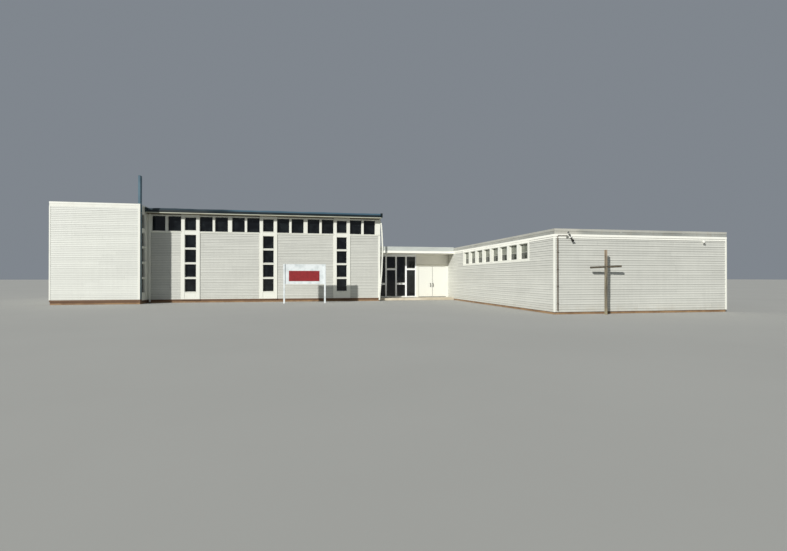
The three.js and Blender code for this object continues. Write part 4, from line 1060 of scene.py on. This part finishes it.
CONDUIT = Finish("conduit_metal", (88, 78, 62), 0.6, "conduit_metal", Metallic=0.2)
CONDUIT.use(CONDUIT.toned(CONDUIT.noise(0.08, (1.0, 1.0, 4.0)), 0.4, 0.7, (68, 58, 46)))
conduit_low, conduit_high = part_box("conduit")
BEND, WIDE, THIN = 0.055, 0.0225, 0.012
conduit_x, conduit_y, run_z = conduit_low.x + THIN, conduit_high.y - 0.028, conduit_high.z + 0.001
fitting_x = box_x - 0.15
turn = np.linspace(math.pi, math.pi / 2, 9)
riser_z = [conduit_low.z, 0.8, 1.5, 2.2, 2.9, *(run_z - BEND - np.array([0.055, 0.05, 0.02]))]
conduit_line = np.array([
    *[(conduit_x, z) for z in riser_z],
    *zip(conduit_x + BEND + BEND * np.cos(turn), run_z - BEND + BEND * np.sin(turn)),
    (conduit_x + BEND + 0.02, run_z), (fitting_x, run_z)])
widths = np.where(np.arange(len(conduit_line)) < 6, WIDE, THIN)
shell("feed_conduit", swept(widths, np.insert(conduit_line, 1, conduit_y, axis=1)), CONDUIT, "conduit")
CLIP_LEVELS = (0.45, 1.15, 1.85, 2.55)
boards("conduit_clips", [
    (conduit_x - 0.034, conduit_x + 0.034, conduit_y - 0.025, conduit_high.y, z - 0.012, z + 0.012)
    for z in CLIP_LEVELS], CONDUIT)
nailed("conduit_fitting", ("-y", conduit_high.y), [
    (fitting_x - 0.045, fitting_x + 0.045, 0.0, 0.045, box_z - 0.04, box_z + 0.06),
    (fitting_x + 0.04, box_x - 0.05, 0.008, 0.032, box_z - 0.012, box_z + 0.012),
], GREY_AND_SHADE_LINES, 0.006, slot="conduit_metal")


# Timber cross
# A square post set in the ground and a flatter bar half-lapped into it, both rough sawn, silvered and
# checked by weather, paler and redder towards the top; the bar has slipped a little out of level.
def timber_finish(name, seen, stretch, tone=1.0):
    """Grey timber whose grain and dark checks are noise drawn out along the piece, warmer above and paler at
    the foot, and as bright all over as the tone says."""
    finish = Finish(name, seen, 0.85, "weathered_timber")
    grain = finish.noise(0.012, stretch, 6.0)
    crack = finish.ramp(finish.noise(0.02, tuple(1.5 * s for s in stretch), 2.0), 0.60, 0.66)
    color = finish.mixed(finish.ramp(grain, 0.3, 0.7), Finish.paint(88, 82, 68), Finish.paint(138, 130, 110))
    warm = finish.product(finish.ramp(finish.axis("Z"), 1.7, 2.5),
                          finish.ramp(finish.noise(0.22), 0.3, 0.6, 0.3, 0.85))
    color = finish.mixed(warm, color, Finish.paint(160, 142, 120))
    pale = finish.ramp(finish.axis("Z"), 0.05, 0.35, 0.5, 0.0)
    color = finish.mixed(pale, color, Finish.paint(168, 158, 126))
    color = finish.shaded(color, finish.ramp(crack, 0.0, 1.0, tone, 0.35 * tone))
    return finish.use(color, height=finish.math("SUBTRACT", grain, finish.product(crack, 1.6)), depth=0.004)


def sawn(length, width, depth, stations, seed):
    """A rough length of timber along Z: a square section with cut corners, whose faces swell and hollow by a
    sum of sines along and around the piece and deepen into a few long checks."""
    edge = np.linspace(-1, 1, 7)[:-1]
    edges = [np.stack([edge, np.full(6, -1.0)], 1)]
    for _ in range(3):
        edges.append(edges[-1][:, ::-1] * (-1.0, 1.0))
    square = np.concatenate(edges)
    square = np.where((np.abs(square).min(1) > 0.99)[:, None], square * 0.955, square)
    along, around = np.linspace(0, length, stations)[:, None], np.arange(len(square))
    swell = (np.sin(2.6 * along + 1.3 * around + seed) + np.sin(7.9 * along - 2.1 * around)
             + 0.6 * np.sin(17.0 * along + 0.7 * around * seed)) * 0.0009
    split = ((around * 5 + 3) % 11 == 0) * np.clip(np.sin(3.1 * along + around), 0, 1) * 0.004
    scale = 1.0 - (0.001 - swell + split) / (min(width, depth) / 2)
    plan = square * scale[..., None] * (width / 2, depth / 2)
    return tubed(np.concatenate([plan, np.broadcast_to(along, scale.shape)[..., None]], -1), clockwise=True)


def twisted(points, angle):
    """Points turned about the upright axis by an angle."""
    c, s = math.cos(angle), math.sin(angle)
    return points @ np.array([(c, s, 0.0), (-s, c, 0.0), (0.0, 0.0, 1.0)])


TIMBER = timber_finish("weathered_timber", (124, 116, 98), (1.0, 1.0, 22.0))
BAR_TIMBER = timber_finish("weathered_bar", (120, 110, 92), (22.0, 1.0, 1.0), 0.46)
post_low, post_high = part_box("cross_post")
cross_at = np.array([(post_low.x + post_high.x) / 2, (post_low.y + post_high.y) / 2, 0.0])
POST_SIDE, CROSS_TURN = 0.09, math.radians(-5.0)
BAR_LENGTH, BAR_HEIGHT, BAR_DEPTH, BAR_LEVEL, BAR_TILT = 1.32, 0.08, 0.09, 1.945, math.radians(2.5)
points, faces = sawn(post_high.z, POST_SIDE, POST_SIDE, 70, 1.0)
shell("timber_post", (twisted(points, CROSS_TURN) + cross_at, faces), TIMBER, "cross_post")
points, faces = sawn(BAR_LENGTH, BAR_HEIGHT, BAR_DEPTH, 40, 2.2)
run, rise = points[:, 2] - BAR_LENGTH / 2, -points[:, 0]
points = np.stack([run * math.cos(BAR_TILT) - rise * math.sin(BAR_TILT), points[:, 1],
                   run * math.sin(BAR_TILT) + rise * math.cos(BAR_TILT) + BAR_LEVEL], 1)
shell("timber_bar", (twisted(points, CROSS_TURN) + cross_at, faces), BAR_TIMBER, "cross_bar")


# Free-standing sign
# Two white posts and two rails hold a bare white board, with a plain dark red panel fixed on its middle.
# All of it is painted timber, and the board is let in between the rails.
SIGN = Finish("sign_paint", (222, 228, 228), 0.5, "sign_paint")
dirt = SIGN.noise(0.3)
SIGN.use(SIGN.toned(dirt, 0.4, 0.75, (196, 204, 204)), SIGN.spread(dirt, 0.42, 0.6))
RED = Finish("red_panel", (138, 34, 38), 0.45, "sign_paint").mottled(0.12, 0.85, 1.1)
dress(SIGN, "sign_board")
sign_low, sign_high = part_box("sign_frame")
board_low, board_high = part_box("sign_board")
POST, RAIL, RAIL_DEPTH, LOW_RAIL = 0.10, 0.045, 0.05, 1.13
PANEL_FOOT, PANEL_HEAD = 1.30, 1.91
sign_middle = (sign_low.y + sign_high.y) / 2
boards("sign_posts_and_rails", [
    *[(x, x + POST, sign_low.y, sign_high.y, 0.0, sign_high.z) for x in (sign_low.x, sign_high.x - POST)],
    *[(sign_low.x + POST - 0.002, sign_high.x - POST + 0.002, sign_middle - RAIL_DEPTH / 2,
       sign_middle + RAIL_DEPTH / 2, z, z + RAIL) for z in (sign_high.z - RAIL - 0.005, LOW_RAIL)],
], SIGN, "sign_frame", chamfer=0.006)
nailed("sign_panel", ("-y", board_low.y), [
    (board_low.x + 0.22, board_high.x - 0.27, 0.0, 0.006, PANEL_FOOT, PANEL_HEAD)], RED, 0.002)


# Camera, light and floor
# The camera stands where the picture was taken, at eye height before the hall, and looks a little right.
# A low sun from behind its left shoulder, softened, and a pale sky light the building on a plain pale floor.
def stood(name, data, place=(0.0, 0.0, 0.0), tilt=0.0, turn=0.0):
    """A new object in the scene: it looks level ahead, is tilted up and then turned, both in degrees."""
    made = bpy.data.objects.new(name, data)
    made.location = place
    if tilt or turn:
        made.rotation_euler = (math.pi / 2 + math.radians(tilt), 0.0, math.radians(turn))
    bpy.context.scene.collection.objects.link(made)
    return made


camera_data = bpy.data.cameras.new("camera")
camera_data.lens = 21.5
camera_data.sensor_width = 36.0
camera_data.clip_end = 500.0
bpy.context.scene.camera = stood("camera", camera_data, (-2.39, -29.4538, 1.50), tilt=0.28, turn=-11.02)

sun_data = bpy.data.lights.new("sun", "SUN")
sun_data.energy = 4.2
sun_data.angle = math.radians(1.5)
sun_data.color = (1.0, 0.98, 0.95)
stood("sun", sun_data, tilt=-23.6, turn=-45.5)

world = bpy.data.worlds.new("sky")
world.use_nodes = True
sky = world.node_tree.nodes["Background"].inputs
sky["Color"].default_value = (0.72, 0.80, 0.90, 1.0)
sky["Strength"].default_value = 0.3
bpy.context.scene.world = world

PALE = Finish("pale_floor", (178, 178, 172), 0.9).mottled(6.0, 0.98, 1.02)
REACH, UNDER = 400.0, -0.001
floor_mesh = bpy.data.meshes.new("floor")
floor_mesh.from_pydata([(x * REACH, y * REACH, UNDER) for x, y in ((-1, -1), (1, -1), (1, 1), (-1, 1))], [],
                       [(0, 1, 2, 3)])
floor_mesh.materials.append(PALE.material)
stood("floor", floor_mesh)
bpy.context.scene.view_settings.view_transform = "Standard"
